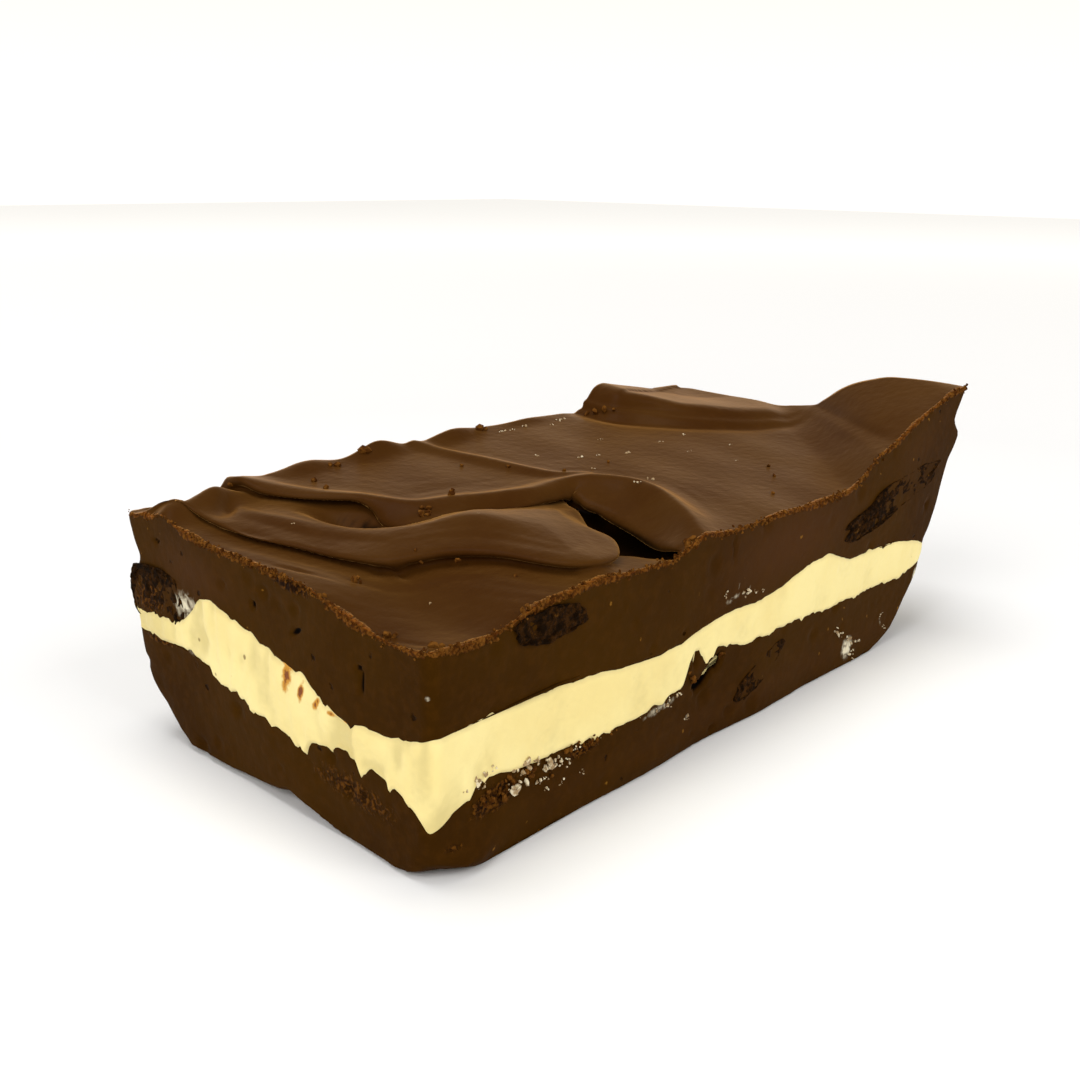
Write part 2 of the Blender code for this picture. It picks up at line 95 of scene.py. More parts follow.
# Teeth of cream that hang down there, as (place, length, half width).
CREAM_TEETH_NEAR = [(-55.7, 0.5, 0.5), (-50.3, 0.9, 0.4), (-48.3, 0.5, 0.3), (-9.3, 2.6, 1.3),
                    (-8.0, 1.0, 0.4), (-5.2, 0.5, 0.4), (4.6, 0.4, 0.3), (12.7, 0.5, 0.4), (27.5, 0.4, 0.3)]
CREAM_TEETH_LEFT = [(-26.2, 0.5, 0.5), (-23.6, 0.5, 0.35), (-20.9, 0.8, 0.3), (-16.1, 1.4, 0.4),
                    (-14.4, 0.4, 0.3), (-11.2, 0.5, 0.5), (-6.5, 1.3, 0.45), (-4.9, 0.8, 0.35),
                    (-0.6, 0.7, 0.6), (2.9, 0.9, 0.5), (5.2, 0.5, 0.3)]

# Marks on the cut faces: (face, place along it, height, half width, half height, turn in degrees, strength).
LOWER_MARKS = {
    "film": [("left", 16.0, 13.8, 3.6, 1.3, 15, 0.55), ("near", -19.0, 7.8, 5.5, 0.9, 4, 0.6),
             ("near", 26.4, 2.6, 1.9, 2.4, -25, 1.0), ("near", 45.6, 8.2, 0.9, 4.6, -22, 0.9),
             ("near", -12.8, 4.6, 0.5, 0.6, 0, 0.8), ("near", 36.3, 4.0, 0.5, 1.4, 20, 0.6)],
    "crumbly": [("left", -14.5, 6.4, 11.0, 2.4, 3, 0.62), ("near", -46.8, 6.6, 4.4, 1.9, 10, 1.0),
                ("near", -32.6, 7.2, 3.4, 1.0, 8, 1.0), ("left", 22.5, 13.4, 4.0, 0.8, 0, 0.9),
                ("near", -53.0, 3.4, 2.0, 0.7, 0, 0.6)],
    # light: a paler band along the foot of both cut faces.
    "light": [("near", 5, 3, 60, 3, 0, 0.35), ("left", 0, 3, 22, 2.5, 0, 0.1)],
}

# The foot bulges where the block pressed on it: as the marks are, with how far in mm for a strength.
LOWER_BULGES = [("near", -50.5, 1.6, 4.5, 2.2, 0, 1.3), ("near", -20, 1.5, 9, 1.5, 0, 0.3)]

# A hole that gapes under the cream: as the marks are, with its depth in mm for a strength. It is also
# painted near black, as painted shade.
LOWER_HOLES = [("near", -9.0, 9.0, 3.0, 0.75, 40, 1.3), ("near", -6.7, 10.2, 1.2, 0.7, 60, 1.2),
               ("near", -11.2, 8.2, 0.8, 0.7, 10, 1.1), ("near", -11.6, 12.0, 0.45, 1.6, 0, 0.45)]

# The cut face's relief: rough all over, broken where it is crumbly, as (height in mm, size in mm, seed),
# how far the crumbly parts are worn away, and the pits' depth, spacing, seed and share.
LOWER_FACE = {"rough": [(0.07, 3.5, 31), (0.04, 1.1, 32)], "broken": [(0.25, 1.4, 33), (0.18, 0.7, 34)],
              "worn": 0.15, "pits": (0.5, 3.4, 35, 0.3)}
SMEAR_HEIGHT = 0.12

# Faces along and across the top of a layer, and courses of them up its walls. The underside, which lies
# against the next layer, has fewer, and starts this share of the block in from the walls.
LAYER_GRID = (300, 150, 44)
UNDERSIDE_SHARE = 6
UNDERSIDE_INSET = 0.03
# Teeth that the knife dragged along an edge of cream: (seed, spacing in mm, share that is there, length).
DRAGGED_TEETH = [(2, 1.5, 0.6, 1.0), (9, 0.7, 0.5, 0.5)]


def smooth(t):
    t = np.clip(t, 0.0, 1.0)
    return t * t * (3.0 - 2.0 * t)


def through(knots, t, soft=0.8):
    """The height of a line through the knots at t, with its corners rounded over the distance soft."""
    places, values = np.array(knots, float).T
    return sum(np.interp(t + step * soft, places, values) for step in (-1, -0.5, 0, 0.5, 1)) / 5


def ripple(x, y, wavelength, seed):
    """Smooth uneven waves of about this length, between about -1 and 1."""
    draw = np.random.default_rng(seed)
    total = 0.0
    for _ in range(6):
        angle, phase = draw.uniform(0, 2 * math.pi, 2)
        pace = 2 * math.pi / (wavelength * draw.uniform(0.7, 1.5))
        total = total + np.sin(pace * (x * math.cos(angle) + y * math.sin(angle)) + phase)
    return total / 3


def chance(cells, seed):
    """An even random value from 0 to 1 for each cell of a grid."""
    mixed = (cells.astype(np.int64) * (73856093, 19349663, 83492791)).sum(axis=-1) + seed * 668265263
    mixed = ((mixed ^ (mixed >> 15)) * 2246822519) & 0xFFFFFFFF
    mixed = ((mixed ^ (mixed >> 13)) * 3266489917) & 0xFFFFFFFF
    return ((mixed ^ (mixed >> 16)) & 0xFFFFF) / 0xFFFFF


def grain(places, size, seed):
    """Smooth random relief between -1 and 1, uneven at this size."""
    cell = np.asarray(places, float) / size
    corner = np.floor(cell)
    share = smooth(cell - corner)
    total = 0.0
    for step in itertools.product((0, 1), repeat=3):
        weight = np.prod(np.where(step, share, 1 - share), axis=-1)
        total = total + weight * chance(corner + step, seed)
    return 2 * total - 1


def pores(places, size, seed, filled=1.0):
    """1 in the middle of round pores at this spacing, 0 outside them. Only the filled share is there."""
    cell = np.asarray(places, float) / size
    corner = np.floor(cell)
    deepest = np.zeros(len(cell))
    for step in itertools.product((-1, 0, 1), repeat=3):
        near = corner + step
        middle = near + np.stack([chance(near, seed + k) for k in (1, 2, 3)], axis=-1)
        wide = 0.25 + 0.3 * chance(near, seed + 4)
        there = chance(near, seed + 5) < filled
        away = np.linalg.norm(cell - middle, axis=-1)
        deepest = np.maximum(deepest, np.where(there, smooth(1 - away / wide), 0))
    return deepest


def from_faces(x, y, at_near, at_left):
    """A value that is at_near at the near side, at_left at the left end, and a mean of both further in."""
    from_near = 1 / (np.abs(y - NEAR_SIDE) + 0.4)
    from_left = 1 / (np.abs(x - LEFT_END) + 0.4)
    return (at_near * from_near + at_left * from_left) / (from_near + from_left)


def torn(along, seed, size, depth, teeth):
    """The ragged edge of cream along a cut face: uneven, with teeth that hang down."""
    flat = np.zeros_like(along)
    places = np.stack([along, flat, flat], axis=-1)
    edge = depth * grain(places, size, seed) + 0.4 * depth * grain(places, size / 3, seed + 1)
    for further, spacing, filled, length in DRAGGED_TEETH:
        edge = edge - length * teeth * pores(places, spacing, seed + further, filled)
    return edge


def hanging(along, teeth):
    """How far teeth of cream hang below its edge: each is (place, length, half width)."""
    return sum(length * np.exp(-np.abs((along - at) / half) ** 1.4) for at, length, half in teeth)


RULER = np.arange(-62, 64, 0.05)
BASE_AT_NEAR = (through(CREAM_BASE_NEAR, RULER, 0.5) + torn(RULER, 21, 1.7, 0.25, 0.45)
                - hanging(RULER, CREAM_TEETH_NEAR))
BASE_AT_LEFT = (through(CREAM_BASE_LEFT, RULER, 0.5) + torn(RULER, 22, 1.5, 0.25, 0.8)
                - hanging(RULER, CREAM_TEETH_LEFT))


def cream_base(x, y):
    return from_faces(x, y, np.interp(x, RULER, BASE_AT_NEAR), np.interp(y, RULER, BASE_AT_LEFT))


def rounded_corner(x, y, wall_x, wall_y, radius):
    """Draws the points near an upright corner onto a round one. The walls lie at wall_x and wall_y."""
    in_x = np.sign(-wall_x)
    in_y = np.sign(-wall_y)
    dx = radius - (x - wall_x) * in_x
    dy = radius - (y - wall_y) * in_y
    at_corner = (dx > 0) & (dy > 0)
    reach = np.where(at_corner, np.maximum(dx, dy) / np.maximum(np.hypot(dx, dy), 1e-9), 1)
    x = np.where(at_corner, wall_x + in_x * (radius - dx * reach), x)
    y = np.where(at_corner, wall_y + in_y * (radius - dy * reach), y)
    return x, y


def outline(u, v, z):
    """The place in plan of a point that is the share u along and v across the block, at height z."""
    across = NEAR_SIDE + (FAR_SIDE - NEAR_SIDE) * v
    low = smooth(1 - z / FOOT_HEIGHT)
    lift = through(LEFT_LIFT, across, 0.6)
    lifted = LEFT_LIFT_DEPTH * smooth((lift - z) / (lift + 0.6))
    left = LEFT_END + lifted + LEFT_UNEVEN * ripple(across, z, 17, 2)
    right = through(RIGHT_WALL, z, 0.4) + RIGHT_UNEVEN * ripple(across, z, 15, 3) * v
    x = left + (right - left) * u
    near = NEAR_SIDE + NEAR_UNEVEN * ripple(x, z, 21, 4)
    taper, length = FAR_TAPER
    far = through(FAR_WALL, z, 0.5) + FAR_UNEVEN * ripple(x, z, 12, 6)
    far = far - taper * smooth((x - LEFT_END) / length)
    y = near + (far - near) * v
    x, y = rounded_corner(x, y, left, near, NEAR_LEFT_ROUND[0] + NEAR_LEFT_ROUND[1] * low)
    x, y = rounded_corner(x, y, left, far, FAR_LEFT_ROUND[0] + FAR_LEFT_ROUND[1] * low)
    x, y = rounded_corner(x, y, right, near, NEAR_RIGHT_ROUND)
    return rounded_corner(x, y, right, far, FAR_RIGHT_ROUND)


def sheet_over(plan, sheet):
    """The sheet's places over each share of the plan, where the walls' lean at its height is counted in."""
    u, v = plan.T
    z = np.full_like(u, 15.0)
    for _ in range(2):
        z = sheet(*outline(u, v, z))[2]
    x, y = outline(u, v, z)
    return np.stack([x, y, *sheet(x, y)], axis=-1)


def block_of_sheets(columns, rows, courses):
    """A fine grid over the top, fine walls round it in courses, and a coarser grid below."""
    made = bmesh.new()
    bmesh.ops.create_grid(made, x_segments=columns, y_segments=rows, size=0.5)
    rim = [edge for edge in made.edges if edge.is_boundary]
    for _ in range(courses):
        grown = bmesh.ops.extrude_edge_only(made, edges=rim)["geom"]
        rim = [part for part in grown if isinstance(part, bmesh.types.BMEdge) and part.is_boundary]
        lower = [part for part in grown if isinstance(part, bmesh.types.BMVert)]
        bmesh.ops.translate(made, verts=lower, vec=(0, 0, -1 / courses))
    old = set(made.edges)
    bmesh.ops.create_grid(made, x_segments=columns // UNDERSIDE_SHARE, y_segments=rows // UNDERSIDE_SHARE,
                          size=0.5 - UNDERSIDE_INSET, matrix=Matrix.Translation((0, 0, -1)))
    inner = [edge for edge in made.edges if edge not in old and edge.is_boundary]
    bmesh.ops.bridge_loops(made, edges=rim + inner)
    bmesh.ops.translate(made, verts=made.verts[:], vec=(0.5, 0.5, 1))
    bmesh.ops.recalc_face_normals(made, faces=made.faces[:])
    return made


def blots(marks, face, along, z, steep):
    """How strongly these marks cover each place of one cut face. Steep ones have firm edges."""
    total = np.zeros_like(z)
    for where, at, height, wide, tall, turn, strength in marks:
        if where == face:
            c, s = math.cos(math.radians(turn)), math.sin(math.radians(turn))
            dx, dz = along - at, z - height
            reach = ((dx * c + dz * s) / wide) ** 2 + ((dz * c - dx * s) / tall) ** 2
            total = np.maximum(total, strength * np.exp(-1.4 * reach ** steep))
    return total


def on_faces(marks, share, places, steep=1):
    """The marks over a whole layer: those of the near side, then those of the left end."""
    x, y, z = places.T
    near = blots(marks, "near", x, z, steep) * smooth((0.12 - share[:, 1]) / 0.1)
    left = blots(marks, "left", y, z, steep) * smooth((0.12 - share[:, 0]) / 0.1)
    return np.maximum(near, left)


def outwards(share):
    """The way out of the wall at each point of a layer, in plan, and none for the points inside."""
    edge = 1e-5
    way_x = (share[:, 0] > 1 - edge).astype(float) - (share[:, 0] < edge)
    way_y = (share[:, 1] > 1 - edge).astype(float) - (share[:, 1] < edge)
    size = np.maximum(np.hypot(way_x, way_y), 1)
    return np.stack([way_x / size, way_y / size, np.zeros(len(share))], axis=-1)


def eased(places, columns, rows):
    """The top's grid with each inner place drawn towards the mean of its neighbours."""
    count = (columns + 1) * (rows + 1)
    sheet = places[:count].reshape(rows + 1, columns + 1, 3)
    for _ in range(2):
        mean = (sheet[:-2, 1:-1] + sheet[2:, 1:-1] + sheet[1:-1, :-2] + sheet[1:-1, 2:]) / 4
        sheet[1:-1, 1:-1] = 0.4 * sheet[1:-1, 1:-1] + 0.6 * mean
    return np.concatenate([sheet.reshape(-1, 3), places[count:]])


def as_mesh(name, made):
    """The mesh of a shape made in bmesh, and its points."""
    mesh = bpy.data.meshes.new(name)
    made.to_mesh(mesh)
    made.free()
    points = np.empty(len(mesh.vertices) * 3, np.float32)
    mesh.vertices.foreach_get("co", points)
    return mesh, points.reshape(-1, 3).astype(float)


def set_down(name, mesh, places):
    """The piece of this mesh, with its points at these places."""
    places = (places - (*BOX_MIDDLE, 0)) * MM
    mesh.vertices.foreach_set("co", places.astype(np.float32).ravel())
    mesh.update()
    piece = bpy.data.objects.new(name, mesh)
    bpy.context.scene.collection.objects.link(piece)
    return piece


def layer(name, grid, lower, upper, relief, tucked=0.0):
    """A layer between two sheets. relief(share, places, low, high) gives how far each point of its walls
    stands out, and its masks, from the share, the place, and the heights of the two sheets there. The coarse
    underside is tucked up this many mm behind the walls' ragged edge."""
    mesh, share = as_mesh(name, block_of_sheets(*grid))
    plan, back = np.unique(share[:, :2].round(5), axis=0, return_inverse=True)
    low = sheet_over(plan, lower)[back.ravel()]
    high = sheet_over(plan, upper)[back.ravel()]
    w = share[:, 2]
    z = low[:, 4] + (high[:, 4] - low[:, 4]) * w
    within = np.abs(share[:, :2] - 0.5).max(axis=1) < 0.5 - UNDERSIDE_INSET / 2
    z = z + tucked * (w < 1e-6) * within
    x, y = outline(share[:, 0], share[:, 1], z)
    near_top = smooth((w - 0.7) / 0.3)
    x = x + (high[:, 2] - high[:, 0]) * near_top
    y = y + (high[:, 3] - high[:, 1]) * near_top
    places = np.stack([x, y, z], axis=-1)
    stand, masks = relief(share, places, low[:, 4], high[:, 4])
    places = eased(places + outwards(share) * stand[:, None], *grid[:2])
    for mask, values in masks.items():
        mesh.attributes.new(mask, "FLOAT", "POINT").data.foreach_set("value", values.astype(np.float32))
    mesh.shade_smooth()
    return set_down(name, mesh, places)


def cut_face(share, places, marks, rough, broken, worn, pits):
    """How far a cut face of fudge stands out, and the masks of its marks."""
    masks = {name: on_faces(spots, share, places) for name, spots in marks.items()}
    uneven, crags = (sum(height * grain(places, size, seed) for height, size, seed in waves)
                     for waves in (rough, broken))
    depth, *spacing = pits
    return uneven + masks["crumbly"] * (crags - worn) - depth * pores(places, *spacing), masks


def lower_relief(share, places, low, high):
    stand, masks = cut_face(share, places, LOWER_MARKS, **LOWER_FACE)
    smeared = SMEAR_HEIGHT * masks["film"] * smooth(1 + grain(places, 1.2, 36))
    masks["hole"] = on_faces(LOWER_HOLES, share, places, 2)
    return stand + smeared + on_faces(LOWER_BULGES, share, places) - masks["hole"], masks


def linear(code):
    """The linear colour of an sRGB hex code."""
    parts = [int(code[place:place + 2], 16) / 255 for place in (1, 3, 5)]
    return (*(part / 12.92 if part <= 0.04045 else ((part + 0.055) / 1.055) ** 2.4 for part in parts), 1)


def node(tree, kind, inputs=None, **settings):
    """Adds a node with its settings, and its inputs as values or as links from other nodes' sockets."""
    made = tree.nodes.new(kind)
    for name, value in settings.items():
        setattr(made, name, value)
    for socket, value in (inputs or {}).items():
        if isinstance(value, bpy.types.NodeSocket):
            tree.links.new(value, made.inputs[socket])
        else:
            made.inputs[socket].default_value = value
    return made


def new_material(name, noises=(), marks=(), **settings):
    """A material with its shader's plain values, its tree, its shader, the block's own coordinates, and its
    patterns: a noise for each (size in mm, detail), and each of these marks of the mesh."""
    made = bpy.data.materials.new(name)
    made.use_nodes = True
    tree = made.node_tree
    shader = tree.nodes["Principled BSDF"]
    for socket, value in settings.items():
        shader.inputs[socket.replace("_", " ")].default_value = value
    place = node(tree, "ShaderNodeTexCoord").outputs["Object"]
    patterns = []
    for size, detail, *more in noises:
        inputs = {"Vector": place, "Scale": 1 / (size * MM), "Detail": detail, **dict(*more)}
        patterns.append(node(tree, "ShaderNodeTexNoise", inputs).outputs[0])
    for mark in marks:
        patterns.append(node(tree, "ShaderNodeAttribute", attribute_name=mark).outputs["Fac"])
    return made, tree, shader, place, patterns


def all_of(tree, parts):
    """The product of these patterns and numbers."""
    whole, *others = parts
    for part in others:
        whole = node(tree, "ShaderNodeMath", {0: whole, 1: part}, operation="MULTIPLY").outputs[0]
    return whole


def past(tree, patterns, low, high, most=1.0):
    """How far the product of these patterns has come from low to high: from 0, by a soft step, to most."""
    inputs = {"Value": all_of(tree, patterns), "From Min": low, "From Max": high, "To Max": most}
    return node(tree, "ShaderNodeMapRange", inputs, interpolation_type="SMOOTHSTEP").outputs[0]


def speckles(tree, place, spacing, channel, bare, edge, middle):
    """Specks in the cells of this spacing in mm, apart from the bare share of them, from edge to middle."""
    cells = node(tree, "ShaderNodeTexVoronoi", {"Vector": place, "Scale": 1 / (spacing * MM)})
    luck = node(tree, "ShaderNodeSeparateColor", {0: cells.outputs["Color"]}).outputs[channel]
    chosen = past(tree, [luck], bare, bare + 0.04)
    return all_of(tree, [chosen, past(tree, [cells.outputs["Distance"]], edge, middle)])


def coated(tree, colour, coats):
    """A colour with coats over it, each (how much, colour). A colour is an sRGB code or another pattern."""
    colour = linear(colour)
    for share, coat in coats:
        coat = linear(coat) if isinstance(coat, str) else coat
        colour = node(tree, "ShaderNodeMix", {0: share, 6: colour, 7: coat}, data_type="RGBA").outputs[2]
    return colour


def finish(tree, shader, colour, heights, distance, strength):
    """Gives the shader its colour, and a bump from the sum of these heights, each (height, pattern, ...)."""
    total = 0.0
    for parts in heights:
        total = node(tree, "ShaderNodeMath", {0: total, 1: all_of(tree, parts)}, operation="ADD").outputs[0]
    bump = node(tree, "ShaderNodeBump", {"Height": total, "Distance": distance * MM, "Strength": strength})
    tree.links.new(colour, shader.inputs["Base Color"])
    tree.links.new(bump.outputs[0], shader.inputs["Normal"])


def cut_fudge():
    """Cut chocolate fudge: dark olive brown, matt and close-grained, with fine ochre specks and pits
    darkened with painted shade. Cream is smeared on it as a pale film, its crumbly parts and dry rim are
    mottled with ochre, its paler patches are partly painted sheen, and its holes and slits are painted near
    black, as painted shade."""
    made, tree, shader, place, patterns = new_material(
        "cut fudge", [(22, 2), (1.1, 4), (0.55, 3), (0.9, 5, {"Distortion": 0.6})],
        ("light", "crumbly", "film", "crust", "hole"), Roughness=0.6, Specular_IOR_Level=0.02)
    broad, fine, grains, wisps, light, crumbly, film, crust, deep = patterns
    uneven = node(tree, "ShaderNodeTexNoise", {"Vector": place, "Scale": 1 / (0.7 * MM), "Detail": 3.0})
    bent = node(tree, "ShaderNodeVectorMath", {0: uneven.outputs["Color"], 1: (1.1 * MM,) * 3, 2: place},
                operation="MULTIPLY_ADD").outputs[0]
    pits = speckles(tree, bent, 3.1, 1, 0.62, 0.15, 0.06)
    patchy = past(tree, [crumbly, grains], 0.16, 0.30)
    dry = past(tree, [crust, grains], 0.18, 0.36)
    colour = coated(tree, "#331c00", [
        (past(tree, [broad], 0.35, 0.65), "#3a2200"),
        # Paler where the light mask lies: patches that are partly the fudge's own tone and partly painted
        # sheen, and a paler band along the foot.
        (light, "#432810"),
        (past(tree, [fine], 0.42, 0.72, 0.25), "#4a2b06"),
        (speckles(tree, bent, 1.9, 0, 0.80, 0.15, 0.06), "#7d541a"),
        # Painted shade: the pits are painted near black.
        (all_of(tree, [pits, 0.8]), "#170900"),
        (patchy, coated(tree, "#1c0b01", [(past(tree, [grains], 0.42, 0.66), "#5a360c")])),
        (past(tree, [film, wisps], 0.16, 0.50), "#e2d9bd"),
        (dry, coated(tree, "#422104", [(past(tree, [grains], 0.4, 0.65), "#6c4113")])),
        # Painted shade: the holes and slits are painted near black.
        (past(tree, [deep], 0.3, 0.75), "#040100")])
    heights = [(-0.5, pits), (0.12, fine), (0.35, patchy, grains), (0.5, dry, grains)]
    finish(tree, shader, colour, heights, 1.0, 0.7)
    return made


CUT_FUDGE = cut_fudge()


def dress(piece, materials, node_name):
    """Gives a piece its materials, hides the solid that it stands for, and lets it ride on the block."""
    for material in materials:
        piece.data.materials.append(material)
    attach(piece, "root")
    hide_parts(node_name)


def level(height):
    """A sheet that lies straight over the plan, as high as this function of the place says."""
    return lambda x, y: (x, y, height(x, y))


lower_fudge = layer("lower_fudge", LAYER_GRID, level(lambda x, y: 0 * x), level(cream_base), lower_relief)
dress(lower_fudge, [CUT_FUDGE], "fudge_bottom")


# The cream filling. A pale yellow cream spread between the two layers. The knife dragged it over the dark
# fudge: its edges are torn, and at the near left corner a drip of it runs down.

CREAM_TOP_NEAR = [(-56, 16.1), (-48, 16.3), (-39, 15.8), (-34, 15.9), (-28, 15.4), (-21, 14.7), (-15, 14.9),
                  (-7, 16.2), (-2.7, 16.5), (1.9, 16.1), (5.4, 16.5), (13.9, 18.6), (18.6, 18.9),
                  (22.1, 17.6), (25.5, 16.6), (38.5, 16.4), (45.3, 15.2), (48, 14.2)]
CREAM_TOP_LEFT = [(-26.7, 16.1), (-22.6, 14.7), (-18.6, 14.3), (-12.4, 14.4), (-9.6, 15.7), (-7, 17.6),
                  (-2.5, 17.6), (1.2, 18.6), (6, 20.0), (10.9, 21.4), (13, 21.0), (14.5, 19.6),
                  (17.5, 17.0), (21.5, 16.7), (28.5, 16.2)]
# How far the cream's faces reach into the fudge, and its underside is tucked up behind its torn edge.
CREAM_OVERLAP = 0.35
CREAM_TUCKED = 2.4
# How far the cream stands out of the cut face, against the distance inside its own edge.
CREAM_EDGE = [(-0.4, -0.4), (-0.2, -0.12), (0.0, 0.02), (0.4, 0.14), (1.2, 0.2), (9, 0.2)]
# Streaks of caramel on it, as the marks are.
STAINS = [("left", -4.2, 16.6, 1.1, 2.6, 12, 1.4), ("left", -3.0, 18.2, 2.0, 0.7, 15, 1.2),
          ("left", -7.0, 15.8, 0.6, 2.2, 20, 1.3), ("left", -9.2, 14.8, 0.5, 1.3, 30, 1.2),
          ("left", 1.5, 18.9, 0.6, 1.0, 0, 0.9), ("left", 5.5, 20.2, 0.5, 0.9, 0, 0.9),
          ("left", -11.8, 14.4, 1.3, 0.45, 0, 1.0), ("left", -14.2, 14.3, 0.8, 0.35, 0, 1.0)]
TOP_AT_NEAR = through(CREAM_TOP_NEAR, RULER, 0.5) + torn(RULER, 24, 2.4, 0.12, 0.2)
TOP_AT_LEFT = through(CREAM_TOP_LEFT, RULER, 0.5) + torn(RULER, 25, 1.7, 0.2, 0.75)


def cream_top(x, y):
    return from_faces(x, y, np.interp(x, RULER, TOP_AT_NEAR), np.interp(y, RULER, TOP_AT_LEFT))


def cream_relief(share, places, low, high):
    z = places[:, 2]
    inside = np.minimum(z - low, high - z) - CREAM_OVERLAP
    proud = through(CREAM_EDGE, inside, 0.05)
    at_left = smooth((0.12 - share[:, 0]) / 0.1)
    swirls = (0.08 + 0.26 * at_left) * grain(places * (1, 1, 0.6), 3.4, 41)
    smears = (0.06 + 0.18 * at_left) * grain(places * (1, 1, 0.5), 1.3, 42) + 0.04 * grain(places, 0.5, 43)
    stain = on_faces(STAINS, share, places)
    loose = smooth(inside / 0.4)
    # Painted shade: the cream is painted darker in the hollows of its relief and over the far part of the
    # left end.
    in_shade = 0.9 * at_left * smooth((places[:, 1] - 17) / 6)
    sunk = np.maximum(smooth((0.02 - swirls - smears) / 0.3), in_shade)
    masks = {"stain": stain, "thin": 1 - smooth((inside + 0.1) / 0.7), "sunk": sunk}
    return proud + (swirls + smears) * loose, masks


def cream():
    """Whipped cream filling: pale yellow, smooth and faintly greasy, duller where it is thin, with painted
    shade in the hollows of its relief and over the far part of the left end, and small nicks and streaks of
    caramel."""
    made, tree, shader, place, patterns = new_material(
        "cream filling", [(9, 3), (0.8, 4), (1.2, 3)], ("thin", "sunk", "stain"),
        Roughness=0.45, Specular_IOR_Level=0.15)
    broad, fine, streaky, thin, sunk, stain = patterns
    colour = coated(tree, "#f5e49f", [
        (past(tree, [broad], 0.35, 0.7), "#efdb93"),
        (all_of(tree, [thin, 0.5]), "#d8c68c"),
        # Painted shade in the hollows and over the far part of the left end.
        (all_of(tree, [sunk, 0.8]), "#d6c483"),
        (past(tree, [stain, streaky], 0.2, 0.42), "#c98d2e"),
        (past(tree, [stain, streaky], 0.42, 0.6), "#7c3f0a"),
        (all_of(tree, [speckles(tree, place, 4.0, 0, 0.80, 0.10, 0.05), 0.8]), "#7a5a20")])
    finish(tree, shader, colour, [(1, fine)], 0.15, 0.6)
    return made


filling = layer("filling", LAYER_GRID, level(lambda x, y: cream_base(x, y) - CREAM_OVERLAP),
                level(lambda x, y: cream_top(x, y) + CREAM_OVERLAP), cream_relief, CREAM_TUCKED)
dress(filling, [cream()], "cream_filling")


# The upper fudge layer. The same fudge, spread over the cream with a spatula while it was soft, so its top
# lies in folds: a wave that curls over, a lower tongue in front of it, a crease, a raised lip and a thick
# far ridge.

TOP_GRID = (300, 150, 34)
TOP_TUCKED = 1.2
FOLDS_END = 2.5
TOP_UNEVEN = 0.12
# Fine ridges that the spatula left beside the folds: (height, how far from the fold, seed).
TONGUE_STREAKS = (0.10, 9, 71)
CREST_STREAKS = (0.08, 8, 73)

# Heights of the top surface along the block's edges, as (distance along the edge, height).
LEFT_RIM = [(-26.7, 25.2), (-22, 24.7), (-15, 25.7), (-9, 27.2), (-4, 27.8), (8, 27.9), (16, 28.6),
            (20.5, 28.6), (24, 28.0), (27, 26.4)]
NEAR_RIM = [(-56, 25.4), (-46, 24.9), (-40, 26.6), (-31, 27.0), (-22, 26.3), (-13, 25.6)]
PLATEAU_NEAR = 27.1
PLATEAU_FAR = 30.2
TONGUE_RISE = 1.5
TONGUE_SLOPE = [(-1, 0), (0, 0), (3, 0.2), (8, 0.7), (13, 0.7)]

# The crest of the spread top, a wave that runs from the far left to the near cut side.
CREST = [(-43, 29), (-40.3, 23.5), (-38, 17.6), (-34.5, 10.4), (-30.7, 3.8), (-23.8, 1.5), (-14.7, -0.7),
         (-8.6, -0.8), (-4.2, -2.4), (-1.8, -5.0), (-1.3, -8.2), (-3.2, -13.8), (-6.4, -19.4),
         (-9.6, -24.0), (-12, -28)]
CREST_HEIGHT = [(0, 0.2), (14, 0.7), (24, 1.2), (40, 1.0), (50, 0.8), (57, 1.3), (64, 1.8), (74, 1.7),
                (84, 0.8), (92, 0.3)]
CREST_WIDTH = 2.6
# The wave's face slopes down from the crest to an edge that hangs over: the share of the step's height that
# it drops, along the crest, and how much lower the top lies along the edge's foot.
FACE_DROP = [(0, 0.0), (22, 0.0), (27, 0.6), (40, 0.6), (48, 0.3), (55, 0.32), (62, 0.36), (78, 0.36),
             (90, 0.25)]
FOOT_GROOVE = 1.5
FOOT_GROOVE_WIDTH = 2.6

# The hanging edge, left part: a lip over a recess, a bulge, then a lip over the tongue.
LIP = [(-43, 30), (-41.5, 22), (-39.6, 17.0), (-37.0, 13.0), (-34.9, 9.8), (-34.6, 7.0), (-35.2, 4.6),
       (-35.0, 2.0), (-33.8, 0.0), (-31.6, -1.0), (-28.6, -0.7), (-24.8, -0.4), (-20.6, -1.6),
       (-17.2, -2.6), (-12.5, -2.3), (-7.4, -2.6), (-2, -4.4), (4, -6), (10, -6)]
LIP_REACH = [(0, 3.0), (16, 4.0), (24, 4.0), (32, 2.0), (45, 2.2), (60, 3.0), (68, 1.6), (90, 1.0)]
LIP_UNDERCUT = [(0, 0.0), (8, 0.8), (14, 1.6), (19, 3.0), (23, 3.0), (28, 1.0), (34, 0.7), (46, 1.0),
                (58, 1.6), (66, 1.4), (71, 0.2), (90, 0)]
LIP_THICK = [(0, 0.5), (16, 0.3), (24, 0.35), (29, 0.85), (42, 0.8), (50, 0.55), (62, 0.5), (90, 0.5)]

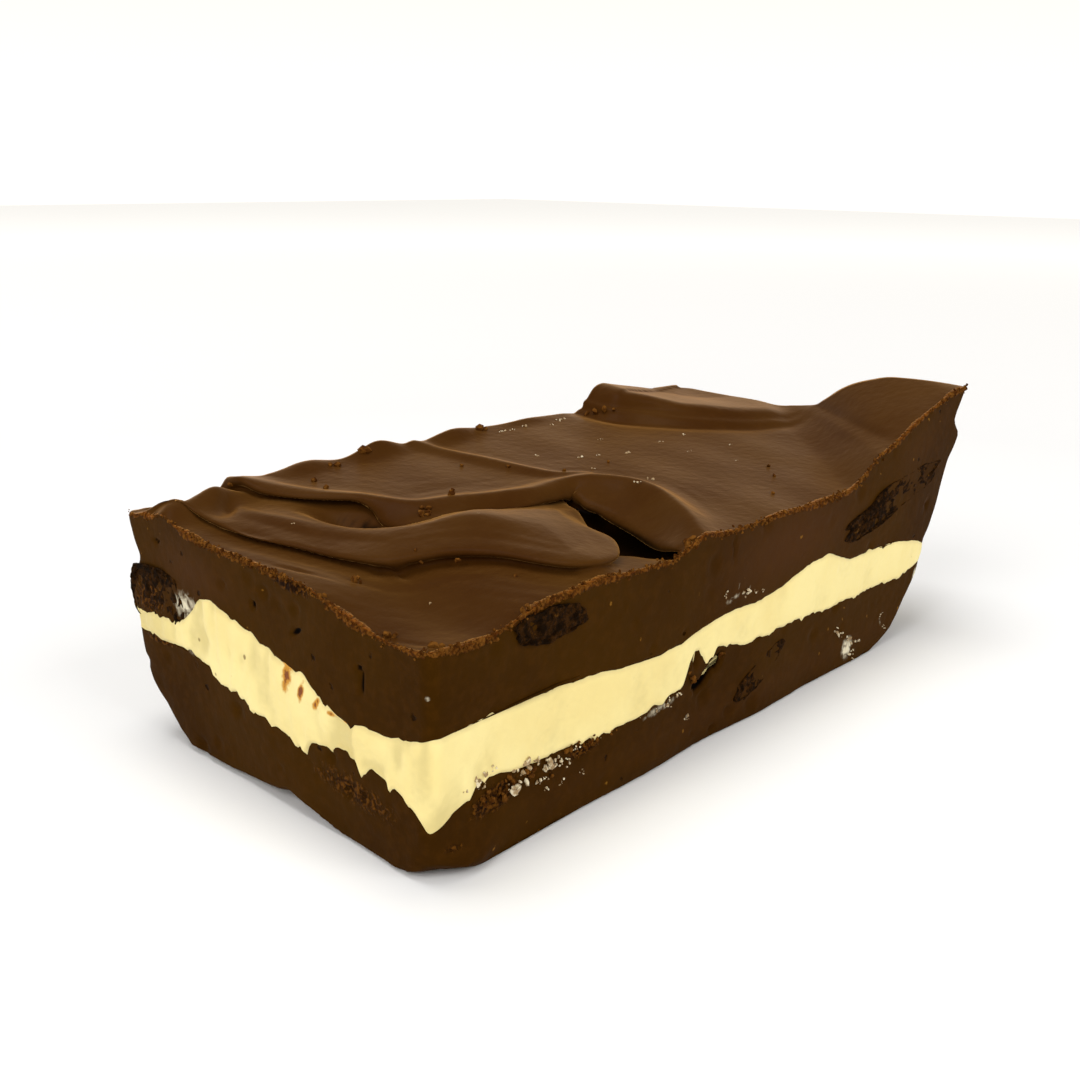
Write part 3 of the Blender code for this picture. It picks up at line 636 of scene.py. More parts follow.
# The hanging edge, right part: the wave's nose, over a cave.
NOSE = [(-2, 16), (-4.5, 6), (-6.0, 0.6), (-7.6, -2.8), (-8.6, -5.6), (-8.3, -9.2), (-9.6, -14.6),
        (-12.0, -20.4), (-14.2, -25.2), (-15.8, -28.5), (-17.0, -31)]
NOSE_REACH = [(0, 1.5), (18, 1.5), (24, 3.0), (29, 5.5), (40, 5.5), (46, 3.5), (60, 3)]
NOSE_UNDERCUT = [(0, 0), (19, 0.3), (23, 2.0), (27, 4.6), (36, 5.2), (42, 4.2), (47, 2.2), (60, 1)]
NOSE_THICK = [(0, 0.5), (22, 0.4), (30, 0.24), (60, 0.35)]
EDGE_BACK = 2.6

# A hanging edge from its foot to behind it. Each row: the share of the way across, then the shares of the
# reach in front, of the undercut and of the way behind, and the bulge of its nose in mm.
EDGE_PATH = [(-1, -1, 0, 0, 0), (-0.62, 0, 0.80, 0, 0), (-0.53, 0, 1, 0, 0), (-0.44, 0, 1, 0, 0),
             (-0.16, 0, 0.06, 0, -0.05), (-0.04, 0, 0, 0, -0.30), (0.12, 0, 0, 0, -0.32),
             (0.28, 0, 0, 0.06, -0.1), (0.44, 0, 0, 0.2, 0), (1, 0, 0, 1, 0)]
# Its height: the share of the part below the lip, and the share of the lip's own thickness.
EDGE_RISE = [(-1, 0, 0), (-0.62, 0, 0), (-0.53, 0.35, 0), (-0.44, 0.9, 0), (-0.16, 1, 0.02),
             (-0.04, 1, 0.3), (0.12, 1, 0.72), (0.28, 1, 0.95), (0.44, 1, 1), (1, 1, 1)]

# The floor in front of the wave's nose lies a little lower: centre, half sizes, turn in degrees and depth.
HOLLOW = (-11.0, -15.0, 9.5, 6.5, 72, 3.6)

# Painted shade where little light comes in under the edges: centre, half sizes, turn, and the height below
# which the top is painted dark.
PAINTED_SHADE_SPOTS = [(-10.5, -13.5, 9.5, 6.0, 72, 26.2), (-10, -4.2, 5.0, 3.0, -20, 27.4)]
# Painted shade under the lip: how dark it is painted, along the lip.
PAINTED_SHADE_UNDER_LIP = [(0, 0), (10, 0.3), (15, 1), (31, 1), (36, 0.5), (58, 0.5), (66, 0.8), (76, 0)]

# Below the crest a second, lower fold runs round a rounded tongue.
TONGUE = [(-57, 26), (-52.6, 22), (-51.8, 14), (-51, 7), (-48.3, 0.5), (-45.4, -7.2), (-42, -9.4),
          (-38.4, -11.2), (-35, -15), (-33.4, -20), (-31.4, -23.6), (-28.2, -24.6), (-24.6, -23.8),
          (-21.6, -21.6), (-18.8, -18.4), (-15.5, -13.6), (-12, -8), (-9, -3)]
TONGUE_REACH = [(0, 2.6), (90, 2.6)]
TONGUE_UNDERCUT = [(0, 0.2), (16, 1.2), (26, 1.7), (40, 0.8), (60, 1.2), (74, 1.2), (90, 0.5)]
TONGUE_THICK = [(0, 0.7), (16, 0.6), (30, 0.5), (60, 0.55), (90, 0.6)]
TONGUE_BACK = 3.0

# A thin pressed ridge that runs into the crest.
CREASE = [(-12, 31), (-10.2, 24), (-8.6, 17), (-6.8, 9), (-5, 3), (-2, 0)]
CREASE_HEIGHT = 0.55
CREASE_WIDTH = 1.3

# The raised lip at the right, above a foot line from the near side to the right end.
LIP_FOOT = [(24.5, -26.7), (56.0, 6.0)]
LIP_AT_NEAR = [(0, 0), (4.4, 3.4), (8.7, 5.0), (13, 6.5), (17.4, 8.2), (21, 10.0), (24, 10.6)]
LIP_AT_END = [(0, 0.6), (3.5, 2.4), (5.5, 4.0), (7.4, 6.0), (9.2, 7.8), (11.7, 9.4), (14, 10.5),
              (18.6, 11.2), (24, 10.8)]

# The far ridge: a thick roll above its own foot line, with a broken left end.
RIDGE_FOOT = [(26, 30), (24.6, 20), (28.2, 14.6), (31.6, 9.3), (36.5, 4.6), (42.4, 0.8), (50, -3), (62, -8)]
RIDGE_SIDE = [(-3, 0), (-1, -0.3), (0.3, -0.5), (1.5, 1.3), (3.4, 1.7), (5.0, 3.4), (7.0, 3.8), (11, 3.0),
              (20, 1.2), (40, 0.6)]
RIDGE_FADE = [(0, 1.0), (12, 1.0), (18, 0.8), (26, 0.6), (34, 0.45), (46, 0.4)]

# Dents of the lower part of the top, and the same for grooves that the spatula left there.
DENTS = [(-38.0, 7.4, 3.4, 7.2, 12, 3.0), (-44.3, -9.8, 1.3, 0.7, -60, 0.7),
         (-47.0, -7.6, 1.5, 0.5, -65, 0.5), (-53.6, -2.5, 6.0, 0.45, -68, 0.45),
         (-54.6, -22.5, 4.2, 0.4, -65, 0.35), (-50.2, 9.0, 5.0, 0.8, -83, 0.5),
         (-47.0, 20.0, 1.2, 4.0, -40, 1.0), (-52.6, 15.0, 4.0, 0.5, -85, 0.4),
         (-51.5, 24.5, 1.2, 3.0, -30, 0.9)]

# Rolls and lumps of the top: (x, y, radius along x, radius along y, turn in degrees, height).
LUMPS = [(-53.6, 25.0, 2.0, 2.4, 0, 0.7), (-46.5, 23.5, 5.6, 3.0, 20, 2.3),
         (-54.0, 21.8, 2.2, 3.0, -30, 1.9), (-30, 26.5, 5, 2.4, 10, 0.9), (-17.5, 27, 5, 2.6, 0, 1.7),
         (-3, 26.6, 6, 2.4, 8, 1.3), (13, 26.8, 5, 2.0, 0, 0.5), (-29.0, -8, 8, 6, -35, 0.7),
         (-46, 12, 2.0, 9, 10, 0.5)]

# Marks on the cut faces and their relief, as the lower layer's are. The rim is chipped.
UPPER_MARKS = {
    "film": [("left", 16.4, 19.4, 4.0, 2.6, -10, 0.75), ("near", -4.6, 18.0, 3.2, 0.7, 12, 0.55),
             ("near", -3.2, 19.6, 0.4, 2.0, 8, 0.5), ("near", -0.6, 18.4, 0.4, 1.2, -30, 0.5),
             ("near", 2.6, 17.6, 1.8, 0.5, -20, 0.4), ("left", -26.3, 20.6, 0.4, 0.5, 0, 0.6)],
    "crumbly": [("left", 24.5, 18.6, 4.4, 3.2, 0, 0.8), ("left", -4.5, 27.0, 5.0, 0.9, 5, 1.0)],
    # light: paler patches, partly the fudge's own tone and partly painted sheen.
    "light": [("near", 9, 22.5, 17, 6.5, 5, 1.0), ("left", 14, 24, 10, 3.5, 0, 0.7),
              ("near", 43, 30, 9, 4, 20, 0.4)],
}
# Slits in the upper layer's cut faces, as the marks are: cut in, and painted near black as painted shade.
UPPER_SLITS = [("left", -5.4, 21.9, 1.1, 0.35, -30, 1.0), ("left", -16.7, 19.4, 0.3, 1.6, 8, 1.0),
               ("left", -16.3, 21.0, 0.5, 0.4, 0, 0.8), ("left", 22.7, 25.9, 0.9, 0.3, 0, 0.9),
               ("left", 2.65, 22.9, 0.3, 0.7, 0, 0.9), ("near", -4.6, 24.5, 0.25, 2.0, 6, 0.5)]
SLIT_DEPTH = 0.5
UPPER_FACE = {"rough": [(0.06, 3.8, 51), (0.035, 1.2, 52)], "broken": [(0.25, 1.4, 53), (0.18, 0.7, 54)],
              "worn": 0.1, "pits": (0.45, 3.6, 55, 0.25)}
CHIPS = [(0.22, 0.6, 57), (0.15, 1.6, 58)]


def curve_through(points, spacing=0.6):
    """A smooth curve through the points, as places this far apart."""
    knots = np.array(points, float)
    ends = np.vstack([2 * knots[0] - knots[1], knots, 2 * knots[-1] - knots[-2]])
    places = []
    for a, b, c, d in zip(ends, ends[1:], ends[2:], ends[3:]):
        steps = max(2, int(np.hypot(*(c - b)) / spacing))
        for t in np.linspace(0, 1, steps, endpoint=False):
            bend = (2 * a - 5 * b + 4 * c - d) * t * t + (3 * b - a - 3 * c + d) * t ** 3
            places.append(b + 0.5 * ((c - a) * t + bend))
    return np.array(places + [knots[-1]])


def beside(x, y, curve):
    """How far each point lies to the left of the curve, how far along it, and the way that points left."""
    start = curve[:-1]
    step = np.diff(curve, axis=0)
    length = np.hypot(*step.T)
    run = np.concatenate([[0], np.cumsum(length)])
    tree = KDTree(len(curve))
    for at, (cx, cy) in enumerate(curve):
        tree.insert((cx, cy, 0), at)
    tree.balance()
    closest = np.array([tree.find((px, py, 0))[1] for px, py in zip(x.tolist(), y.tolist())])
    best = None
    for segment in (np.clip(closest - 1, 0, len(step) - 1), np.clip(closest, 0, len(step) - 1)):
        dx = x - start[segment, 0]
        dy = y - start[segment, 1]
        part = np.clip((dx * step[segment, 0] + dy * step[segment, 1]) / length[segment] ** 2, 0, 1)
        away = np.hypot(dx - part * step[segment, 0], dy - part * step[segment, 1])
        way = step[segment] / length[segment, None]
        side = np.sign(way[:, 0] * dy - way[:, 1] * dx) * away
        found = np.stack([away, side, run[segment] + part * length[segment], -way[:, 1], way[:, 0]])
        best = found if best is None else np.where(found[0] < best[0], found, best)
    return best[1:]


def hanging_edge(x, y, curve, back, reach, undercut, thick):
    """A step up to the left of the curve, whose edge hangs over: how far it moves each place, and how far
    the place has risen, as shares with and without the overhang."""
    side, along, left_x, left_y = beside(x, y, curve_through(curve))
    reach, undercut, thick = (through(table, along, 2.0) for table in (reach, undercut, thick))
    across = np.clip(side / np.where(side > 0, back, reach), -1, 1)
    rows = np.array(EDGE_PATH, float)
    ahead, under, behind, bulge = (through(rows[:, (0, k)], across, 0.025) for k in (1, 2, 3, 4))
    path = ahead * reach + under * undercut + behind * back + bulge
    hung = smooth(undercut / 0.5)
    shift = (path - np.clip(side, -reach, back)) * hung
    rows = np.array(EDGE_RISE, float)
    below, lip = (through(rows[:, (0, k)], across, 0.025) for k in (1, 2))
    plain = smooth((across + 0.6) / 1.0)
    risen = plain + (below * (1 - thick) + lip * thick - plain) * hung
    return left_x * shift, left_y * shift, risen, plain, side, along


def mound(x, y, at_x, at_y, long, wide, turn, height, steep=1):
    """A rounded mound with these half sizes. A steep one has a flat top and steeper sides."""
    c, s = math.cos(math.radians(turn)), math.sin(math.radians(turn))
    dx, dy = x - at_x, y - at_y
    reach = ((dx * c + dy * s) / long) ** 2 + ((dy * c - dx * s) / wide) ** 2
    return height * np.exp(-1.4 * reach ** steep)


def front_floor(x, y):
    """The lowest part of the top, along the left end and the near side."""
    inward = 1 - 0.75 * smooth((x - LEFT_END) / 18)
    return through(NEAR_RIM, x, 2.5) + (through(LEFT_RIM, y, 2.0) - LEFT_RIM[0][1]) * inward


def plateau(x, y):
    """The upper part of the top, which rises to the lip at the right and the ridge at the far side."""
    base = PLATEAU_NEAR + (PLATEAU_FAR - PLATEAU_NEAR) * (y - NEAR_SIDE) / (FAR_SIDE - NEAR_SIDE)
    (x0, y0), (x1, y1) = LIP_FOOT
    run = math.hypot(x1 - x0, y1 - y0)
    way_x, way_y = (x1 - x0) / run, (y1 - y0) / run
    past_foot = (x - x0) * way_y - (y - y0) * way_x
    along_foot = smooth(((x - x0) * way_x + (y - y0) * way_y) / run)
    at_near = through(LIP_AT_NEAR, past_foot, 1.2)
    lip = at_near + (through(LIP_AT_END, past_foot, 1.2) - at_near) * along_foot
    behind, along, _, _ = beside(x, y, curve_through(RIDGE_FOOT))
    ridge = through(RIDGE_SIDE, behind, 0.7) * through(RIDGE_FADE, along, 2)
    return base + lip + ridge * smooth((4 - past_foot) / 8)


def streaks(side, along, height, reach, seed, wide=1.1, long=11.0):
    """Fine ridges beside a fold, running along it."""
    flat = np.stack([side / wide, along / long, np.zeros_like(side)], axis=-1)
    fading = height * np.exp(-((side / reach) ** 2))
    return fading * (grain(flat, 1, seed) + 0.5 * grain(flat * 2.3, 1, seed + 1))


def top_surface(x, y):
    """The top of the block over each place: where the folds carry it, and its height."""
    inside = smooth(np.minimum(y - NEAR_SIDE, x - LEFT_END) / FOLDS_END)
    lip_x, lip_y, lip_risen, lip_plain, past_lip, _ = hanging_edge(
        x, y, LIP, EDGE_BACK, LIP_REACH, LIP_UNDERCUT, LIP_THICK)
    nose_x, nose_y, nose_risen, nose_plain, past_nose, _ = hanging_edge(
        x, y, NOSE, EDGE_BACK, NOSE_REACH, NOSE_UNDERCUT, NOSE_THICK)
    moved_x = x + (lip_x * (1 - nose_plain) + nose_x * (1 - lip_plain)) * inside
    moved_y = y + (lip_y * (1 - nose_plain) + nose_y * (1 - lip_plain)) * inside
    on_plateau = 1 - (1 - lip_risen) * (1 - nose_risen)
    tongue_x, tongue_y, on_tongue, _, past_tongue, on_the_way = hanging_edge(
        moved_x, moved_y, TONGUE, TONGUE_BACK, TONGUE_REACH, TONGUE_UNDERCUT, TONGUE_THICK)
    floor = front_floor(moved_x, moved_y) - mound(moved_x, moved_y, *HOLLOW, steep=2)
    past_edge = np.maximum(past_lip, past_nose)
    groove = np.exp(-((np.minimum(past_edge, 0) / FOOT_GROOVE_WIDTH) ** 2)) * (1 - nose_plain)
    low = floor + (TONGUE_RISE + through(TONGUE_SLOPE, past_tongue, 1.5)) * on_tongue
    low = low - FOOT_GROOVE * groove * inside
    low = low - sum(mound(moved_x, moved_y, *dent) for dent in DENTS) * inside
    behind_crest, along_crest, _, _ = beside(moved_x, moved_y, curve_through(CREST))
    ahead = np.maximum(-behind_crest, 0)
    down_face = ahead / (ahead + np.maximum(past_edge, 0) + 1e-6)
    high = plateau(moved_x, moved_y)
    high = high + through(CREST_HEIGHT, along_crest, 3) * np.exp(-(behind_crest / CREST_WIDTH) ** 2)
    high = high - (high - low) * through(FACE_DROP, along_crest, 3) * down_face ** 0.9
    off_crease, _, _, _ = beside(moved_x, moved_y, curve_through(CREASE))
    high = high + CREASE_HEIGHT * np.exp(-((off_crease / CREASE_WIDTH) ** 2))
    height = low + (high - low) * on_plateau
    height = height + sum(mound(moved_x, moved_y, *lump) for lump in LUMPS)
    height = height + TOP_UNEVEN * ripple(moved_x, moved_y, 14, 5)
    height = height + streaks(past_tongue, on_the_way, *TONGUE_STREAKS) * (1 - on_plateau)
    height = height + streaks(behind_crest, along_crest, *CREST_STREAKS) * on_plateau
    carried = inside * (1 - on_plateau)
    return moved_x + tongue_x * carried, moved_y + tongue_y * carried, height


def upper_relief(share, places, low, high):
    x, y, z = places.T
    stand, masks = cut_face(share, places, UPPER_MARKS, **UPPER_FACE)
    from_cut = np.minimum(x - LEFT_END, y - NEAR_SIDE)
    below_rim = high - z + np.maximum(from_cut, 0)
    crust = smooth(1.1 - below_rim / (0.5 + 0.8 * smooth(0.4 + grain(places, 5, 56)))) * (from_cut < 3)
    chipped = sum(height * grain(places, size, seed) for height, size, seed in CHIPS) * crust
    slits = on_faces(UPPER_SLITS, share, places, 2)
    # Painted shade: the top is painted near black in two hollows under the wave's edges and under the lip,
    # below these heights.
    dark = sum(mound(x, y, *spot, 1, steep=2) * smooth((below - z) / 1.6) for *spot, below in PAINTED_SHADE_SPOTS)
    past_lip, along_lip, _, _ = beside(x, y, curve_through(LIP))
    shade_under_lip = through(PAINTED_SHADE_UNDER_LIP, along_lip, 1.5) * smooth((past_lip + 3.6) / 2.4)
    shade_under_lip = shade_under_lip * smooth((27.9 - z) / 1.2)
    masks.update(crust=crust, hole=slits, dark=np.maximum(dark, shade_under_lip) * (share[:, 2] == 1))
    return stand + chipped - SLIT_DEPTH * slits, masks


def spread_fudge():
    """Fudge that was spread while soft: smooth, dark brown, with a soft brown sheen where it is seen at a
    slant, a rusty rim, and painted shade, almost black, where a fold keeps the light off it."""
    made, tree, shader, _, patterns = new_material(
        "spread fudge", [(16, 3), (1.5, 4), (0.55, 3)], ("crust", "dark"), Roughness=0.36,
        Specular_IOR_Level=0.015, Sheen_Weight=0.85, Sheen_Roughness=0.28, Sheen_Tint=linear("#d69e56"))
    broad, fine, grains, crust, dark = patterns
    dry = past(tree, [crust, grains], 0.18, 0.36)
    colour = coated(tree, "#3a1f06", [
        (past(tree, [broad], 0.3, 0.7), "#44290c"),
        (past(tree, [fine], 0.5, 0.78, 0.2), "#4e3013"),
        (dry, coated(tree, "#4e2705", [(past(tree, [grains], 0.4, 0.65), "#7a4715")])),
        # Painted shade: near black where the dark mask lies, under the folds.
        (past(tree, [dark], 0.1, 0.9), "#0c0400")])
    finish(tree, shader, colour, [(1, fine), (3, dry, grains)], 0.12, 0.6)
    return made


upper_fudge = layer("upper_fudge", TOP_GRID, level(cream_top), top_surface, upper_relief, TOP_TUCKED)
dress(upper_fudge, [spread_fudge(), CUT_FUDGE], "fudge_top")
which = np.ones(len(upper_fudge.data.polygons), np.int32)
which[:TOP_GRID[0] * TOP_GRID[1]] = 0
upper_fudge.data.polygons.foreach_set("material_index", which)


# The pieces of cake. Dark chocolate cake, baked, broken up and stirred into the fudge while it was warm.
# The knife cut through four of them, three on the near side and one on the left.

CAKES = {
    "near": {"at": (-38.2, -26.7, 23.9), "half": (5.2, 3.6, 1.85), "tilt": 4},
    "right": {"at": (36.6, -26.7, 23.4), "half": (13.4, 5.0, 2.3), "tilt": -13},
    "lower": {"at": (3.0, -26.7, 6.1), "half": (5.6, 4.0, 1.6), "tilt": -26},
    "left": {"at": (-56.0, 23.2, 18.9), "half": (5.0, 6.2, 3.7), "tilt": 0},
}


def cake_crumb():
    """Dark chocolate cake: matt, almost black in its pores, with browner grains and ochre patches."""
    made, tree, shader, _, (grains, patches) = new_material(
        "cake crumb", [(0.8, 6, {"Roughness": 0.7}), (2.6, 2)], Roughness=0.95, Specular_IOR_Level=0.05)
    bright = all_of(tree, [past(tree, [grains], 0.58, 0.70), past(tree, [patches], 0.5, 0.62)])
    colour = coated(tree, "#150900", [(past(tree, [grains], 0.40, 0.66), "#3a2106"), (bright, "#6e4812")])
    finish(tree, shader, colour, [(1, grains)], 0.5, 1.0)
    return made


CAKE_CRUMB = cake_crumb()
# The crags of its cut side, as (height in mm, size in mm, seed), its pores, and how far it stands out.
CAKE_CRAGS = [(0.16, 1.1, 61), (0.12, 0.5, 62)]
CAKE_PORES = (0.35, 1.5, 63, 0.7)
CAKE_PROUD = 0.12


def cake_piece(name, seed, plan):
    """A lump of cake, flat where the knife went through it."""
    made = bmesh.new()
    bmesh.ops.create_icosphere(made, subdivisions=6, radius=1)
    mesh, ball = as_mesh(f"cake_{name}", made)
    x, y, z = ball.T
    rough = 0.14 * ripple(x + z, y - z, 1.3, seed) + 0.03 * ripple(x - y, z, 0.4, seed + 1)
    square = np.abs(ball).max(axis=1) ** -0.35
    x, y, z = (ball * plan["half"] * (square * (1 + rough))[:, None]).T
    c, s = math.cos(math.radians(plan["tilt"])), math.sin(math.radians(plan["tilt"]))
    places = np.stack([x * c + z * s, y, z * c - x * s], axis=-1) + plan["at"]
    depth, *spacing = CAKE_PORES
    crags = sum(height * grain(places, size, seed) for height, size, seed in CAKE_CRAGS)
    crags = crags - depth * pores(places, *spacing)
    axis = 1 if plan["at"][1] == NEAR_SIDE else 0
    face = plan["at"][axis] - CAKE_PROUD
    places[:, axis] = np.where(places[:, axis] < face, face - crags, places[:, axis])
    dress(set_down(f"cake_{name}", mesh, places), [CAKE_CRUMB], f"cake_chunk_{name}")


for seed, (name, plan) in enumerate(CAKES.items()):
    cake_piece(name, seed, plan)


# The crumbs. The knife broke a dry rim from the spread top along the two cut sides, and crumbs of it and of
# the cream lie on the top and stick to the cut faces. Each kind is one mesh of small rough lumps.

CRUMB_SEED = 5
# Loose crumbs on the top: (x, y, half size).
TOP_CRUMBS = [(-49.6, 25.2, 0.4), (-48.6, 26.0, 0.3), (-46.9, 26.4, 0.45), (-45.8, 26.6, 0.35),
              (-44.8, 26.2, 0.4), (-43.6, 26.4, 0.3), (-42.6, 26.3, 0.4), (-52.0, 26.0, 0.4),
              (-41.8, -10.0, 0.3), (-41.4, -8.6, 0.35), (-13.0, -25.4, 0.6), (-13.6, -26.0, 0.5),
              (-12.4, -25.8, 0.5), (-14.0, -26.2, 0.4), (-31.6, 1.4, 0.5), (-30.9, 1.0, 0.5),
              (-31.3, 0.6, 0.45), (-30.4, 1.5, 0.4), (-32.0, 0.9, 0.35), (-31.0, 2.0, 0.3),
              (25.6, 22.5, 0.6), (26.2, 21.0, 0.5), (25.2, 24.0, 0.6), (26.8, 19.5, 0.4),
              (-20.5, 26.0, 0.9), (-33.2, 21, 0.55), (-34.3, 17, 0.45), (-25.1, 3.0, 0.6),
              (-21.5, 6.6, 0.4), (-38.5, -12.4, 0.35), (-36.3, -19.4, 0.3), (-49.7, -8, 0.6),
              (-48.8, -7.4, 0.5), (-49.3, -8.6, 0.4), (-53.7, -25.2, 0.7), (-53.0, -25.6, 0.4),
              (-55, -19.8, 0.6), (-54.6, -20.4, 0.45), (2.4, 26.3, 1.0), (3.4, 26.0, 0.5),
              (-26.5, 24.6, 0.6), (-27.5, 24.9, 0.4), (-24.6, -1.2, 0.4), (12.8, -20.8, 0.4),
              (20.5, -16.0, 0.45), (6.2, 3.2, 0.3), (24.3, -12.5, 0.3), (-8.0, 9.6, 0.55), (-4.2, 2.5, 0.5),
              (-12.5, 14.5, 0.35)]
WHITE_SPECKS = [(10.2, 25, 0.5), (18.9, 24.3, 0.45), (4.8, 7.5, 0.35), (14.9, 12.2, 0.35), (12.5, 4.7, 0.4),
                (21.6, 5.7, 0.3), (21, -0.6, 0.3), (23.1, -7.4, 0.3), (-1.5, -9.5, 0.7), (5.5, 24.2, 0.5),
                (7.4, 24.0, 0.3), (15.5, 23.0, 0.3), (2.0, 2.6, 0.3), (8.0, 6.6, 0.3), (30, -2, 0.25),
                (-45.8, -15.9, 0.25), (-46.0, 8.0, 0.2), (-30.0, -7.0, 0.2), (28.0, 6.0, 0.25),
                (0.5, 12.0, 0.25)]
# Bits torn off the cream, on the near side: (x, height, half size).
CREAM_BITS = [(-42.6, 8.5, 0.7), (-41.2, 8.7, 0.6), (-40.0, 8.9, 0.45), (-39.3, 7.0, 0.55),
              (-38.0, 7.5, 0.6), (-37.2, 7.7, 0.35), (-40.1, 6.0, 0.35), (-39.2, 6.1, 0.3),
              (-36.3, 6.8, 0.35), (-35.3, 7.0, 0.3), (-38.9, 4.7, 0.28), (-36.2, 4.4, 0.24),
              (-33.0, 4.5, 0.2), (-44.3, 6.7, 0.5), (-43.2, 7.1, 0.55), (-49.4, 9.7, 0.5),
              (-48.2, 10.1, 0.5), (-47.1, 10.3, 0.35), (-51.0, 8.9, 0.4), (-49.0, 8.5, 0.3),
              (-34.0, 8.0, 0.3), (-30.5, 7.8, 0.25), (-23.0, 7.6, 0.45), (-21.4, 7.9, 0.4),
              (-19.6, 8.1, 0.35), (-17.0, 8.2, 0.4), (-15.2, 8.4, 0.35), (23.0, 6.0, 0.35),
              (24.5, 5.2, 0.4), (26.8, 4.0, 0.5), (28.6, 2.8, 0.45), (27.6, 1.6, 0.4), (28.2, 0.6, 0.3),
              (36.0, 5.2, 0.3), (37.1, 2.7, 0.3), (-1.6, 18.3, 0.4), (-5.9, 18.9, 0.35), (0.8, 17.9, 0.3),
              (2.6, 17.6, 0.25), (-12.8, 4.6, 0.3)]
# Crumbs of the fudge among them.
RED_CRUMBS = [(-47.5, 7.2, 0.7), (-46.0, 6.6, 0.6), (-44.8, 7.6, 0.6), (-34.6, 7.4, 0.6), (-33.2, 7.7, 0.6),
              (-31.8, 7.6, 0.6), (-30.4, 7.9, 0.5), (-41.6, 7.6, 0.6), (-37.6, 6.5, 0.4), (-28.0, 7.9, 0.4),
              (-24.5, 7.7, 0.4), (-18.0, 7.9, 0.4), (-12.9, 9.8, 0.5), (-6.8, 10.9, 0.4)]
BITS_STAND = 0.1
# Crumbs along the rim of the two cut sides: how many, the share on the near side, and how far they lie from
# it, as their spread and their middle.
RIM_CRUMBS = 2400
RIM_NEAR_SHARE = 0.64
RIM_SPREAD = (0.1, 0.1, 0.26)
RIM_MIDDLE = (0.12, 0.12, -0.2)
CRUMB_DRAW = 11


def crumb_tree():
    """Rough little lumps on the points of a mesh. Each point's own half size is its attribute wide."""
    tree = bpy.data.node_groups.new("crumbs", "GeometryNodeTree")
    kinds = {"Geometry": "Geometry", "Roughness": "Float", "Seed": "Int", "Finish": "Material"}
    for name, kind in kinds.items():
        tree.interface.new_socket(name, in_out="INPUT", socket_type=f"NodeSocket{kind}")
    tree.interface.new_socket("Geometry", in_out="OUTPUT", socket_type="NodeSocketGeometry")
    given = node(tree, "NodeGroupInput").outputs
    ball = node(tree, "GeometryNodeMeshIcoSphere", {"Radius": 1.0, "Subdivisions": 1})
    half = node(tree, "GeometryNodeInputNamedAttribute", {"Name": "wide"}, data_type="FLOAT").outputs[0]
    turn = node(tree, "FunctionNodeRandomValue", {"Max": (6.28, 6.28, 6.28), "Seed": given["Seed"]},
                data_type="FLOAT_VECTOR")
    squash = node(tree, "FunctionNodeRandomValue", {"Min": (0.6, 0.6, 0.5), "Max": (1.4, 1.1, 0.9),
                                                    "Seed": given["Seed"]}, data_type="FLOAT_VECTOR")
    size = node(tree, "ShaderNodeVectorMath", {0: squash.outputs[0], "Scale": half}, operation="SCALE")
    lumps = node(tree, "GeometryNodeInstanceOnPoints", {
        "Points": given["Geometry"], "Instance": ball.outputs["Mesh"], "Rotation": turn.outputs[0],
        "Scale": size.outputs[0]})
    real = node(tree, "GeometryNodeRealizeInstances", {"Geometry": lumps.outputs[0]})
    rough = node(tree, "ShaderNodeTexNoise", {"Scale": 1 / (0.55 * MM), "Detail": 2.0})
    centred = node(tree, "ShaderNodeVectorMath", {0: rough.outputs["Color"], 1: (0.5, 0.5, 0.5)},
                   operation="SUBTRACT")
    push = node(tree, "ShaderNodeVectorMath", {0: centred.outputs[0], "Scale": given["Roughness"]},
                operation="SCALE")
    shaken = node(tree, "GeometryNodeSetPosition", {"Geometry": real.outputs[0], "Offset": push.outputs[0]})
    done = node(tree, "GeometryNodeSetMaterial", {"Geometry": shaken.outputs[0],
                                                  "Material": given["Finish"]})
    node(tree, "NodeGroupOutput", {"Geometry": done.outputs[0]})
    return tree


CRUMB_TREE = crumb_tree()


def scatter(name, places, sizes, roughness, finish, slot):
    """One piece of crumbs at these places, in millimetres in the block's own frame."""
    seeds = bpy.data.meshes.new(name)
    seeds.from_pydata(((np.asarray(places) - (*BOX_MIDDLE, 0)) * MM).tolist(), [], [])
    wide = seeds.attributes.new("wide", "FLOAT", "POINT")
    wide.data.foreach_set("value", (np.asarray(sizes) * MM).astype(np.float32))
    holder = bpy.data.objects.new(name, seeds)
    bpy.context.scene.collection.objects.link(holder)
    grower = holder.modifiers.new("crumbs", "NODES")
    grower.node_group = CRUMB_TREE
    values = {"Roughness": roughness * MM, "Seed": CRUMB_SEED, "Finish": finish}
    for item in CRUMB_TREE.interface.items_tree:
        if item.in_out == "INPUT" and item.name in values:
            grower[item.identifier] = values[item.name]
    bpy.context.view_layer.update()
    grown = bpy.data.meshes.new_from_object(holder.evaluated_get(bpy.context.evaluated_depsgraph_get()))
    bpy.data.objects.remove(holder)
    grown.name = name
    piece = bpy.data.objects.new(name, grown)
    bpy.context.scene.collection.objects.link(piece)
    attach(piece, "root")


def broken_up(places, sizes, count, spread, draw):
    """Breaks each crumb into this many smaller ones. They lie within spread times its size of it."""
    shift = draw.normal(0, 1, (len(places), count, 3)) * spread * sizes[:, None, None]
    smaller = sizes[:, None] * (0.25 + 0.55 * draw.random((len(places), count)) ** 2)
    return (places[:, None] + shift).reshape(-1, 3), smaller.ravel()


def on_top(x, y):
    """The top's own place over the shares of the plan that lie at x and y."""
    return np.stack([x, y, top_surface(x, y)[2]], axis=-1)


